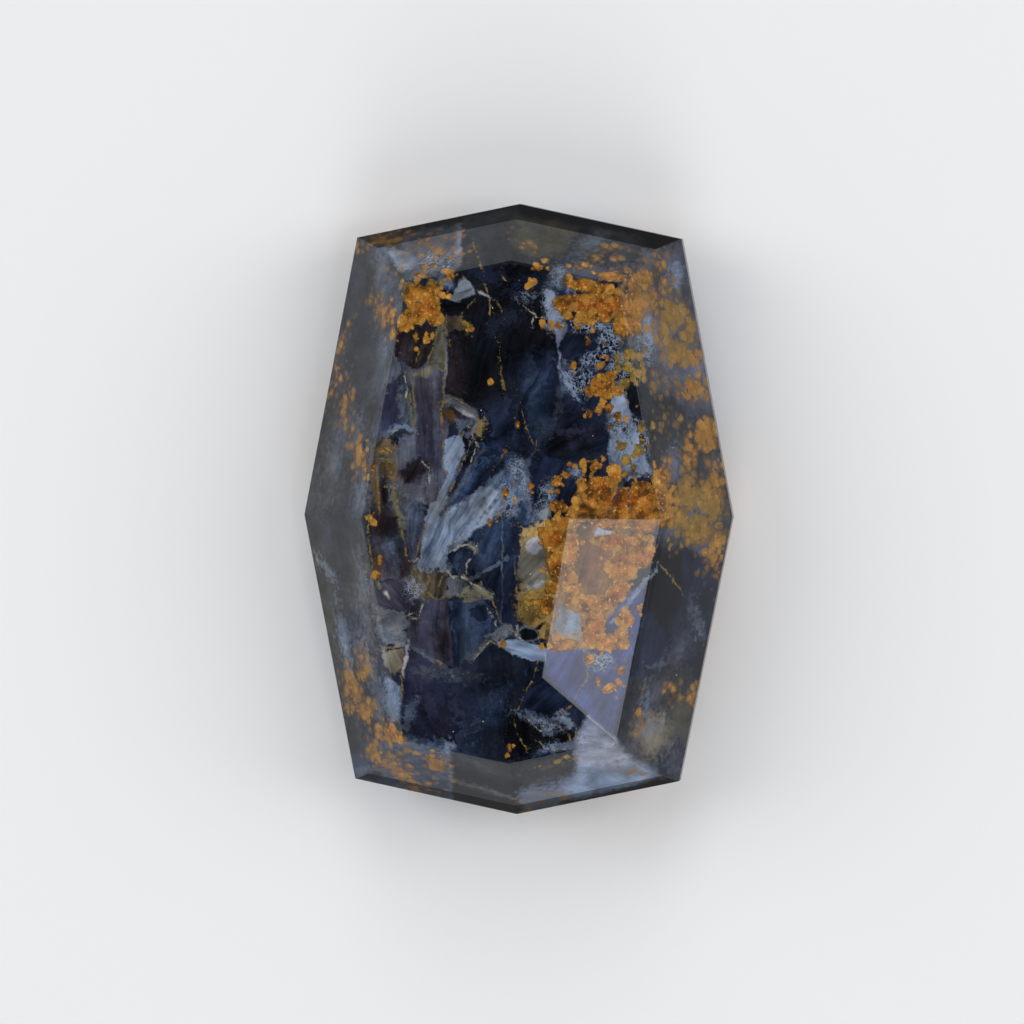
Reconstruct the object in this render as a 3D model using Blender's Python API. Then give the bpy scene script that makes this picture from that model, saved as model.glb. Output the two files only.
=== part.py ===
"""A cut and polished pietersite gemstone: a long eight-sided dome cut with a flat back.

The stone is one solid. It starts as a block, and each facet is one planar cut, the way a stone is
ground on a flat lap. The facets lie in rows that follow the eight edges of the outline: the bevel
round the back, the upright girdle, then the crown's rows, each shallower than the one below, up to
the four nearly level facets that meet along the top.

Metres, +Z up. The origin is the middle of the outline's box, in the plane of the flat back. +Y is
the long axis, and the crown faces +Z.
"""

from math import atan2, cos, radians, sin, tan
from typing import NamedTuple

import bmesh
import bpy
from mathutils import Matrix, Vector

MM = 0.001

# The outline, seen from above: a blunt point at each end, and straight sides that meet at a waist.
LENGTH = 13.0 * MM
WIDTH = 9.15 * MM
SHOULDER_WIDTH = 6.93 * MM
END_RISE = 0.73 * MM
WAIST_Y = -0.14 * MM

# The back's bevel and the upright girdle.
BACK_INSET = 0.85 * MM
BACK_HEIGHT = 1.0 * MM
GIRDLE_HEIGHT = 0.45 * MM

# The crown's rows above the long sides, from the girdle up: the width seen from above, and the slope.
SIDE_BEVEL_WIDTH = 1.36 * MM
SIDE_BEVEL_PITCH = radians(52)
SIDE_SLOPE_WIDTH = 1.92 * MM
SIDE_SLOPE_PITCH = radians(12)
SIDE_TOP_PITCH = radians(4)
SIDE_TOP_TURN = radians(3.5)

# The crown's rows above the ends, where a narrow steep band comes first.
END_BAND_PITCH = radians(65)
END_BAND_WIDTHS = {1: 0.31 * MM, -1: 0.20 * MM}
END_BEVEL_INSET = 1.13 * MM
END_SLOPE_PITCH = radians(12.9)

GIRDLE_TOP = BACK_HEIGHT + GIRDLE_HEIGHT
BEVEL_TOP = GIRDLE_TOP + SIDE_BEVEL_WIDTH * tan(SIDE_BEVEL_PITCH)
SLOPE_TOP = BEVEL_TOP + SIDE_SLOPE_WIDTH * tan(SIDE_SLOPE_PITCH)

BLOCK_SIZE = 1.5 * LENGTH
UPRIGHT = radians(90)
HALF_TURN = radians(180)

STONE_COLOUR = (0.014, 0.02, 0.042, 1.0)
STONE_ROUGHNESS = 0.06


class Edge(NamedTuple):
    """One straight edge of the outline: a corner on it and its outward direction."""

    corner: Vector
    outward: Vector

    @property
    def at_end(self):
        """Whether it is one of the four short edges at the ends."""
        return abs(self.outward.y) > abs(self.outward.x)


class Facet(NamedTuple):
    """One flat cut along an edge: where its lower line lies, its slope, and its turn in plan."""

    inset: float
    height: float
    pitch: float
    turn: float = 0.0


def clear_scene():
    """Removes every object that the file starts with."""
    for obj in list(bpy.data.objects):
        bpy.data.objects.remove(obj, do_unlink=True)


def outline_edges():
    """The eight edges of the outline. Each keeps its corner at the waist, or at the end's point."""
    edges = []
    for side in (1, -1):
        for end in (1, -1):
            waist = Vector((side * WIDTH / 2, WAIST_Y))
            shoulder = Vector((side * SHOULDER_WIDTH / 2, end * (LENGTH / 2 - END_RISE)))
            point = Vector((0.0, end * LENGTH / 2))
            for corner in (waist, point):
                along = (shoulder - corner).normalized()
                outward = Vector((along.y, -along.x))
                if outward.dot(corner) < 0:
                    outward.negate()
                edges.append(Edge(corner, outward))
    return edges


def end_facets(edge):
    """The crown's facets above an edge at an end: a steep band, a bevel and a shallow slope."""
    band_width = END_BAND_WIDTHS[1 if edge.outward.y > 0 else -1]
    band_top = GIRDLE_TOP + band_width * tan(END_BAND_PITCH)
    bevel_pitch = atan2(BEVEL_TOP - band_top, END_BEVEL_INSET - band_width)
    return [
        Facet(0.0, GIRDLE_TOP, END_BAND_PITCH),
        Facet(band_width, band_top, bevel_pitch),
        Facet(END_BEVEL_INSET, BEVEL_TOP, END_SLOPE_PITCH),
    ]


def side_facets(edge):
    """The crown's facets above a long side: a bevel, a shallow slope and a nearly level top."""
    towards_end = 1 if edge.outward.x * edge.outward.y > 0 else -1
    return [
        Facet(0.0, GIRDLE_TOP, SIDE_BEVEL_PITCH),
        Facet(SIDE_BEVEL_WIDTH, BEVEL_TOP, SIDE_SLOPE_PITCH),
        Facet(
            SIDE_BEVEL_WIDTH + SIDE_SLOPE_WIDTH,
            SLOPE_TOP,
            SIDE_TOP_PITCH,
            towards_end * SIDE_TOP_TURN,
        ),
    ]


def facets_along(edge):
    """Every facet that follows one edge of the outline, from the back to the top."""
    back_bevel = Facet(BACK_INSET, 0.0, HALF_TURN - atan2(BACK_HEIGHT, BACK_INSET))
    girdle = Facet(0.0, BACK_HEIGHT, UPRIGHT)
    crown = end_facets(edge) if edge.at_end else side_facets(edge)
    return [back_bevel, girdle, *crown]


def cut_facet(stone, edge, facet):
    """Grinds away what lies outside the facet's plane, and closes the stone again."""
    foot = edge.corner - edge.outward * facet.inset
    facing = Matrix.Rotation(facet.turn, 2) @ edge.outward
    normal = Vector((facing.x * sin(facet.pitch), facing.y * sin(facet.pitch), cos(facet.pitch)))
    cut = bmesh.ops.bisect_plane(
        stone,
        geom=stone.verts[:] + stone.edges[:] + stone.faces[:],
        dist=1e-9,
        plane_co=(foot.x, foot.y, facet.height),
        plane_no=normal,
        clear_outer=True,
    )
    rim = [item for item in cut["geom_cut"] if isinstance(item, bmesh.types.BMEdge)]
    bmesh.ops.contextual_create(stone, geom=rim)


def cut_stone():
    """The faceted solid as a mesh."""
    stone = bmesh.new()
    bmesh.ops.create_cube(stone, size=BLOCK_SIZE)
    bmesh.ops.translate(stone, verts=stone.verts, vec=(0.0, 0.0, BLOCK_SIZE / 2))
    for edge in outline_edges():
        for facet in facets_along(edge):
            cut_facet(stone, edge, facet)
    bmesh.ops.recalc_face_normals(stone, faces=stone.faces)
    mesh = bpy.data.meshes.new("pietersite_gem")
    stone.to_mesh(mesh)
    stone.free()
    return mesh


def polished_pietersite():
    """The stone's material: polished, and near black with a blue cast."""
    material = bpy.data.materials.new("polished_pietersite")
    material.use_nodes = True
    shader = material.node_tree.nodes["Principled BSDF"]
    shader.inputs["Base Color"].default_value = STONE_COLOUR
    shader.inputs["Roughness"].default_value = STONE_ROUGHNESS
    shader.inputs["Metallic"].default_value = 0.0
    return material


def main():
    """Builds the gemstone in a collection of its own."""
    clear_scene()
    collection = bpy.data.collections.new("faceted_pietersite")
    bpy.context.scene.collection.children.link(collection)
    mesh = cut_stone()
    mesh.materials.append(polished_pietersite())
    collection.objects.link(bpy.data.objects.new("pietersite_gem", mesh))


main()
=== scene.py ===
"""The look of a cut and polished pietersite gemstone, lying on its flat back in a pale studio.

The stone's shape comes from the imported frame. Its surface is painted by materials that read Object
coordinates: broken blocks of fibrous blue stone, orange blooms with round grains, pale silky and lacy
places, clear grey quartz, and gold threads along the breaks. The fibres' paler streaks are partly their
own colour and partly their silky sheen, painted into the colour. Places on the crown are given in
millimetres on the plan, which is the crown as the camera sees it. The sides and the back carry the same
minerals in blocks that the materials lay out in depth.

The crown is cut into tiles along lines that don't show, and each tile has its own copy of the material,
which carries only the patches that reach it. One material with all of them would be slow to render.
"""

from __future__ import annotations

import logging
from dataclasses import dataclass, replace
from enum import Enum
from math import atan2, cos, degrees, hypot, pi, radians, sin, tan
from typing import Any, Callable, Iterable

import bmesh
import bpy
from mathutils import Matrix, Vector

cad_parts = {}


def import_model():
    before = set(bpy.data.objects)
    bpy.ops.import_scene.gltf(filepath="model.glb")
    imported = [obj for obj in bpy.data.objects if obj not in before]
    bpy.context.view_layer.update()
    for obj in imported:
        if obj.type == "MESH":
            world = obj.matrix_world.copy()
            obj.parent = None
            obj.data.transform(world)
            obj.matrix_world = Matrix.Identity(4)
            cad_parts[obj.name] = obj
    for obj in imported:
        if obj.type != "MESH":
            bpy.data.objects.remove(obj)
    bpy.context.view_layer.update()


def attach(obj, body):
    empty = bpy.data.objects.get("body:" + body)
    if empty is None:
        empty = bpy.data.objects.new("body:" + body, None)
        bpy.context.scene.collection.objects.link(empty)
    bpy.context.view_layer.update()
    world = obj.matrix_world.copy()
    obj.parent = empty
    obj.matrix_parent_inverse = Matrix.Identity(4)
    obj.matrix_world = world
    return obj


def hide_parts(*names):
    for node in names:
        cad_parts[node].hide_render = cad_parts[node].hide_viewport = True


LOG = logging.getLogger("gemstone")

MM = 0.001
GEM_NODE = "pietersite_gem"

# How the camera stands over the stone: its tilt towards +X and +Y, and its roll. The plan is what it
# sees at the height of the girdle's top.
CAMERA_TILT_X = radians(4.93)
CAMERA_TILT_Y = radians(1.88)
CAMERA_ROLL = radians(0.23)
PLAN_HEIGHT = 1.45

Triple = tuple[float, float, float]
Point = tuple[float, float]
Box = tuple[float, float, float, float]

GROUP_SOCKETS = {"VALUE": "NodeSocketFloat", "VECTOR": "NodeSocketVector", "RGBA": "NodeSocketColor"}


def linear(colour: Triple) -> tuple[float, float, float, float]:
    """Turns a display colour into the light it stands for.

    Args:
        colour: red, green and blue from 0 to 255.

    Returns:
        Red, green, blue and alpha from 0 to 1, for a colour socket.
    """
    channels = []
    for value in colour:
        share = value / 255
        channels.append(share / 12.92 if share < 0.04045 else ((share + 0.055) / 1.055) ** 2.4)
    return (*channels, 1.0)


class Signal:
    """A shader socket that Python's operators work on."""

    def __init__(self, graph: Graph, socket: bpy.types.NodeSocket) -> None:
        """Keeps the socket and the graph that it belongs to."""
        self.graph = graph
        self.socket = socket

    @property
    def is_vector(self) -> bool:
        """Whether the socket carries three numbers."""
        return self.socket.type in ("VECTOR", "RGBA")

    def _combine(self, operation: str, first: Any, second: Any) -> Signal:
        """Adds the Math or Vector Math node for one operator.

        Args:
            operation: the node's operation.
            first: its first operand, a signal, number or triple.
            second: its second operand.

        Returns:
            The result.
        """
        wide = [isinstance(x, tuple) or (isinstance(x, Signal) and x.is_vector) for x in (first, second)]
        if not any(wide):
            return self.graph.add("ShaderNodeMath", {"operation": operation}, {0: first, 1: second})
        if operation != "MULTIPLY" or all(wide):
            return self.graph.add("ShaderNodeVectorMath", {"operation": operation}, {0: first, 1: second})
        vector, number = (first, second) if wide[0] else (second, first)
        return self.graph.add("ShaderNodeVectorMath", {"operation": "SCALE"}, {0: vector, "Scale": number})

    def __add__(self, other: Any) -> Signal:
        """Sum."""
        return self._combine("ADD", self, other)

    def __radd__(self, other: Any) -> Signal:
        """Sum, from the right."""
        return self._combine("ADD", other, self)

    def __sub__(self, other: Any) -> Signal:
        """Difference."""
        return self._combine("SUBTRACT", self, other)

    def __rsub__(self, other: Any) -> Signal:
        """Difference, from the right."""
        return self._combine("SUBTRACT", other, self)

    def __mul__(self, other: Any) -> Signal:
        """Product."""
        return self._combine("MULTIPLY", self, other)

    def __rmul__(self, other: Any) -> Signal:
        """Product, from the right."""
        return self._combine("MULTIPLY", other, self)

    def __truediv__(self, other: Any) -> Signal:
        """Quotient."""
        return self._combine("DIVIDE", self, other)

    def at_least(self, other: Any) -> Signal:
        """The larger of two values."""
        return self._combine("MAXIMUM", self, other)

    def at_most(self, other: Any) -> Signal:
        """The smaller of two values."""
        return self._combine("MINIMUM", self, other)

    def dot(self, other: Any) -> Signal:
        """The dot product with another vector, or with a triple."""
        return self.graph.add(
            "ShaderNodeVectorMath", {"operation": "DOT_PRODUCT"}, {0: self, 1: other}, "Value"
        )

    def length(self) -> Signal:
        """A vector's length."""
        return self.graph.add("ShaderNodeVectorMath", {"operation": "LENGTH"}, {0: self}, "Value")

    def unit(self) -> Signal:
        """A vector's direction."""
        return self.graph.add("ShaderNodeVectorMath", {"operation": "NORMALIZE"}, {0: self})

    def line(self, slope: Any, offset: Any, clamp: bool = True) -> Signal:
        """This value times slope plus offset, held between 0 and 1 unless clamp is off."""
        settings = {"operation": "MULTIPLY_ADD", "use_clamp": clamp}
        return self.graph.add("ShaderNodeMath", settings, {0: self, 1: slope, 2: offset})

    def fade(self, start: Any, end: Any) -> Signal:
        """0 up to start, 1 from end on, and a smooth rise between them."""
        return self.graph.add(
            "ShaderNodeMapRange",
            {"interpolation_type": "SMOOTHSTEP"},
            {"Value": self, "From Min": start, "From Max": end},
        )


class Graph:
    """The nodes of one material, of one group or of the world."""

    def __init__(self, tree: bpy.types.NodeTree) -> None:
        """Starts from an empty tree."""
        self.tree = tree
        self.tree.nodes.clear()

    def add(
        self,
        kind: str,
        settings: dict[str, Any],
        inputs: dict[int | str, Any],
        output: int | str = 0,
    ) -> Signal:
        """Adds one node.

        Args:
            kind: the node's type.
            settings: its properties, set first; stops are a ramp's positions and display colours.
            inputs: a value or a signal for each socket that isn't left alone.
            output: the socket that is wanted.

        Returns:
            The node's output.
        """
        node = self.tree.nodes.new(kind)
        for name, value in settings.items():
            if name == "stops":
                self._set_stops(node.color_ramp, value)
            else:
                setattr(node, name, value)
        for name, value in inputs.items():
            if isinstance(value, Signal):
                self.tree.links.new(value.socket, node.inputs[name])
            else:
                node.inputs[name].default_value = value
        return Signal(self, node.outputs[output])

    @staticmethod
    def _set_stops(ramp: bpy.types.ColorRamp, stops: list[tuple[float, Triple]]) -> None:
        """Gives a ramp its stops."""
        while len(ramp.elements) < len(stops):
            ramp.elements.new(1.0)
        for element, (position, colour) in zip(ramp.elements, stops):
            element.position = position
            element.color = linear(colour)

    def finish(self, kind: str, socket: str, shader: Signal) -> None:
        """Adds the tree's output node and links a shader to it."""
        node = self.tree.nodes.new(kind)
        self.tree.links.new(shader.socket, node.inputs[socket])

    def vector(self, values: Triple) -> Signal:
        """A vector that stays the same."""
        return self.add("ShaderNodeCombineXYZ", {}, dict(enumerate(values)))

    def colour(self, tone: Triple) -> Signal:
        """A display colour that stays the same."""
        return self.add("ShaderNodeCombineColor", {}, dict(enumerate(linear(tone)[:3])))

    def group(
        self,
        name: str,
        given: dict[str, Signal],
        build: Callable[[Graph, dict[str, Signal]], dict[str, Signal]],
    ) -> dict[str, Signal]:
        """Builds one part of the pattern as a node group.

        Args:
            name: the group's name.
            given: the signals that go into it.
            build: makes the part from the group's own graph and the signals inside it.

        Returns:
            The signals that come out of it.
        """
        tree = bpy.data.node_groups.new(name, "ShaderNodeTree")
        inner = Graph(tree)
        for key, signal in given.items():
            tree.interface.new_socket(key, in_out="INPUT", socket_type=GROUP_SOCKETS[signal.socket.type])
        entry = tree.nodes.new("NodeGroupInput")
        results = build(inner, {key: Signal(inner, entry.outputs[key]) for key in given})
        for key, signal in results.items():
            tree.interface.new_socket(key, in_out="OUTPUT", socket_type=GROUP_SOCKETS[signal.socket.type])
        leave = tree.nodes.new("NodeGroupOutput")
        for key, signal in results.items():
            tree.links.new(signal.socket, leave.inputs[key])
        node = self.add("ShaderNodeGroup", {"node_tree": tree}, given).socket.node
        return {key: Signal(self, node.outputs[key]) for key in results}

    def mix(self, share: Any, first: Any, second: Any) -> Signal:
        """Blends two colours.

        Args:
            share: how much of the second there is, from 0 to 1.
            first: a signal, or a display colour.
            second: a signal, or a display colour.

        Returns:
            The blend.
        """
        ends = [x if isinstance(x, Signal) else linear(x) for x in (first, second)]
        return self.add("ShaderNodeMix", {"data_type": "RGBA"}, {0: share, 6: ends[0], 7: ends[1]}, 2)

    def turn_towards(self, share: Any, first: Any, second: Any) -> Signal:
        """Blends two vectors, with share as for mix."""
        return self.add("ShaderNodeMix", {"data_type": "VECTOR"}, {0: share, 4: first, 5: second}, 1)

    def noise(self, where: Signal, rate: float, detail: float = 2.0, rough: float = 0.5) -> Signal:
        """Cloudy noise from 0 to 1, with rate as clouds to the millimetre."""
        inputs = {"Vector": where, "Scale": rate, "Detail": detail, "Roughness": rough}
        return self.add("ShaderNodeTexNoise", {}, inputs)

    def scatter(self, where: Signal, rate: float, detail: float = 2.0) -> Signal:
        """Three cloudy noises at once, centred on 0, as a vector."""
        inputs = {"Vector": where, "Scale": rate, "Detail": detail}
        return self.add("ShaderNodeTexNoise", {}, inputs, "Color") - (0.5, 0.5, 0.5)

    def cells(self, where: Signal, rate: float, scattered: float, output: str) -> Signal:
        """Scattered points, with rate as points to the millimetre: the distance to one, or its colour."""
        inputs = {"Vector": where, "Scale": rate, "Randomness": scattered}
        return self.add("ShaderNodeTexVoronoi", {}, inputs, output)


class Mineral(Enum):
    """What a block is made of: the display colours of its depth and of its pale fibres, which are partly their own
    colour and partly their silky sheen, painted in.
    """

    JET = ((7, 9, 12), (22, 25, 31))
    GRAPHITE = ((24, 27, 31), (50, 55, 62))
    NAVY = ((11, 15, 25), (34, 42, 62))
    BLUE = ((17, 27, 45), (60, 78, 106))
    DUSK = ((24, 25, 36), (50, 51, 70))
    PLUM = ((34, 34, 43), (68, 68, 83))
    VIOLET = ((39, 41, 52), (82, 86, 101))
    MAROON = ((22, 19, 24), (50, 45, 52))
    ASH = ((32, 35, 40), (60, 64, 70))
    SLATE = ((46, 52, 61), (92, 100, 111))
    MIST = ((50, 58, 74), (100, 112, 132))
    PALE = ((78, 92, 114), (134, 147, 167))
    SILK = ((56, 68, 86), (142, 154, 170))
    PEARL = ((76, 82, 90), (124, 130, 138))
    MILK = ((124, 124, 128), (172, 172, 178))
    QUARTZ = ((84, 80, 70), (130, 124, 110))
    FROST = ((98, 110, 132), (146, 157, 178))
    REED = ((56, 58, 52), (120, 120, 104))
    TAN = ((48, 48, 42), (72, 72, 62))
    OLIVE = ((74, 62, 34), (142, 120, 70))
    # Partly the stone's blue and partly painted reflection: the blue tone of the window's reflection on one crown
    # facet.
    INDIGO_AND_PAINTED_REFLECTION = ((36, 48, 90), (58, 72, 124))
    RUSSET = ((72, 44, 28), (112, 76, 50))
    GOLDEN = ((96, 76, 38), (166, 142, 92))
    BRONZE = ((30, 28, 28), (88, 82, 68))
    EARTH = ((104, 74, 40), (150, 112, 62))
    UMBER = ((34, 26, 20), (78, 60, 42))


@dataclass(frozen=True)
class Oval:
    """A round or long patch on the plan, in millimetres; turn is in degrees anticlockwise."""

    x: float
    y: float
    wide: float
    high: float
    turn: float = 0.0

    def box(self) -> Box:
        """The patch's west, east, south and north ends."""
        reach = max(self.wide, self.high)
        return self.x - reach, self.x + reach, self.y - reach, self.y + reach

    def depth(self, graph: Graph, plan: Signal) -> Signal:
        """How far a point lies outside the patch.

        Args:
            graph: the material's nodes.
            plan: the point, in millimetres, with 1 as its third number.

        Returns:
            The distance in millimetres, below 0 inside.
        """
        thin = min(self.wide, self.high)
        if self.turn:
            cosine, sine = cos(radians(self.turn)), sin(radians(self.turn))
            along = (cosine / self.wide, sine / self.wide, -(cosine * self.x + sine * self.y) / self.wide)
            across = (-sine / self.high, cosine / self.high, (sine * self.x - cosine * self.y) / self.high)
            local = graph.add("ShaderNodeCombineXYZ", {}, {0: plan.dot(along), 1: plan.dot(across)})
        else:
            shares = (1 / self.wide, 1 / self.high, 0.0)
            start = (-self.x / self.wide, -self.y / self.high, 0.0)
            steps = {"operation": "MULTIPLY_ADD"}
            local = graph.add("ShaderNodeVectorMath", steps, {0: plan, 1: shares, 2: start})
        return local.length().line(thin, -thin, clamp=False)


@dataclass(frozen=True)
class Chip:
    """A patch with straight edges on the plan: the corners of a convex outline, in millimetres."""

    corners: tuple[Point, ...]

    def box(self) -> Box:
        """The patch's west, east, south and north ends."""
        across = [x for x, _ in self.corners]
        along = [y for _, y in self.corners]
        return min(across), max(across), min(along), max(along)

    def depth(self, graph: Graph, plan: Signal) -> Signal:
        """How far a point lies outside the patch, with Args and Returns as for Oval."""
        middle = Vector((sum(x for x, _ in self.corners), sum(y for _, y in self.corners)))
        middle /= len(self.corners)
        outside = None
        for start, end in zip(self.corners, self.corners[1:] + self.corners[:1]):
            along = (Vector(end) - Vector(start)).normalized()
            outward = Vector((along.y, -along.x))
            if outward.dot(middle - Vector(start)) > 0:
                outward.negate()
            distance = plan.dot((outward.x, outward.y, -outward.dot(Vector(start))))
            outside = distance if outside is None else outside.at_least(distance)
        return outside


@dataclass(frozen=True)
class Block:
    """A broken piece of fibrous stone.

    patch is its outline and mineral what it is made of. grain is the way its fibres run, in degrees
    anticlockwise from +X. soft is how wide its edge is, and ragged how far noise moves that edge, both
    in millimetres.
    """

    patch: Oval | Chip
    mineral: Mineral
    grain: float = 90.0
    soft: float = 0.03
    ragged: float = 0.12

    def box(self) -> Box:
        """The patch's west, east, south and north ends."""
        return self.patch.box()


@dataclass(frozen=True)
class Thread:
    """A thin vein along a few points on the plan, in millimetres."""

    points: tuple[Point, ...]
    width: float = 0.02

    def ovals(self) -> list[Oval]:
        """The vein as long thin patches, one along each stretch."""
        found = []
        for (x1, y1), (x2, y2) in zip(self.points, self.points[1:]):
            reach = hypot(x2 - x1, y2 - y1) / 2 + self.width
            turn = degrees(atan2(y2 - y1, x2 - x1))
            found.append(Oval((x1 + x2) / 2, (y1 + y2) / 2, reach, self.width, turn))
        return found


# The blocks, each region in the order that they are laid, later ones over earlier ones.
TOP_END = (
    Block(Chip(((-3.6, 6.0), (-2.3, 6.1), (-2.3, 3.9), (-3.4, 3.5))), Mineral.ASH, 80, 0.12, 0.25),
    Block(Chip(((-2.45, 6.0), (-1.24, 6.1), (-1.24, 5.1), (-2.4, 4.85))), Mineral.SLATE, 60, 0.04, 0.2),
    Block(Chip(((-2.85, 5.5), (-2.35, 5.48), (-2.15, 5.2), (-2.5, 4.98))), Mineral.PALE, 130, 0.05, 0.1),
    Block(Oval(-3.08, 5.3, 0.24, 0.3), Mineral.MIST, 70, 0.15, 0.25),
    Block(Oval(-2.92, 4.6, 0.16, 0.55, 5), Mineral.MIST, 84, 0.14, 0.25),
    Block(Oval(-2.62, 4.35, 0.09, 0.45, 6), Mineral.SLATE, 84, 0.08, 0.2),
    Block(Oval(-1.29, 5.6, 0.05, 0.34, -2), Mineral.PALE, 90, 0.06, 0.15),
    Block(Oval(-1.55, 4.8, 0.22, 0.12, -30), Mineral.MIST, 150, 0.06, 0.2),
    # Painted shade: a black strip along the steep band at the far end, in place of the dark reflection that the band
    # shows.
    Block(Chip(((-2.6, 5.96), (0.0, 6.5), (0.0, 6.22), (-2.5, 5.88))), Mineral.JET, 10, 0.05, 0.1),
    Block(Chip(((-1.22, 6.2), (0.05, 6.4), (0.3, 5.0), (-1.2, 5.0))), Mineral.GRAPHITE, 120, 0.03, 0.05),
    Block(Chip(((0.0, 6.2), (1.35, 6.1), (0.9, 5.4), (0.2, 5.3), (-0.1, 5.7))), Mineral.TAN, 20, 0.1, 0.2),
    Block(
        Chip(((1.0, 5.4), (1.6, 6.1), (3.4, 5.8), (2.9, 5.3), (2.0, 5.2))), Mineral.GRAPHITE, 150, 0.08, 0.2
    ),
    Block(Oval(1.6, 5.72, 0.4, 0.09, 40), Mineral.SLATE, 40, 0.12, 0.25),
    Block(Chip(((2.5, 5.35), (3.3, 5.35), (3.4, 5.85), (2.7, 5.95))), Mineral.JET, 150, 0.12, 0.2),
    # Painted shade: the black strip along the far end's steep band goes on here.
    Block(Chip(((0.0, 6.24), (3.5, 5.68), (3.5, 6.0), (0.0, 6.6))), Mineral.JET, 170, 0.06, 0.1),
    Block(Chip(((-1.35, 5.1), (0.6, 5.25), (0.9, 3.3), (-0.2, 2.2), (-1.5, 2.3))), Mineral.JET, 75, 0.04),
    Block(Oval(-0.2, 4.0, 0.3, 0.16, 30), Mineral.NAVY, 60, 0.16, 0.3),
    Block(Oval(-0.75, 5.0, 0.3, 0.1, -10), Mineral.NAVY, 100, 0.12, 0.3),
    Block(Oval(0.1, 4.75, 0.28, 0.12, 30), Mineral.NAVY, 40, 0.12, 0.3),
    Block(
        Chip(((-0.2, 3.2), (0.8, 3.4), (1.0, 2.6), (0.9, 1.8), (0.4, 1.1), (-0.3, 1.5))),
        Mineral.NAVY,
        75,
        0.14,
        0.25,
    ),
    Block(Oval(0.3, 2.75, 0.16, 0.32, -20), Mineral.BLUE, 70, 0.2, 0.4),
    Block(Oval(0.45, 2.0, 0.2, 0.34, 10), Mineral.BLUE, 80, 0.24, 0.4),
    Block(Oval(0.93, 2.42, 0.07, 0.3, -8), Mineral.MIST, 82, 0.12, 0.2),
    Block(Oval(0.0, 2.2, 0.05, 0.6, 6), Mineral.JET, 82, 0.1, 0.2),
)

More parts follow.
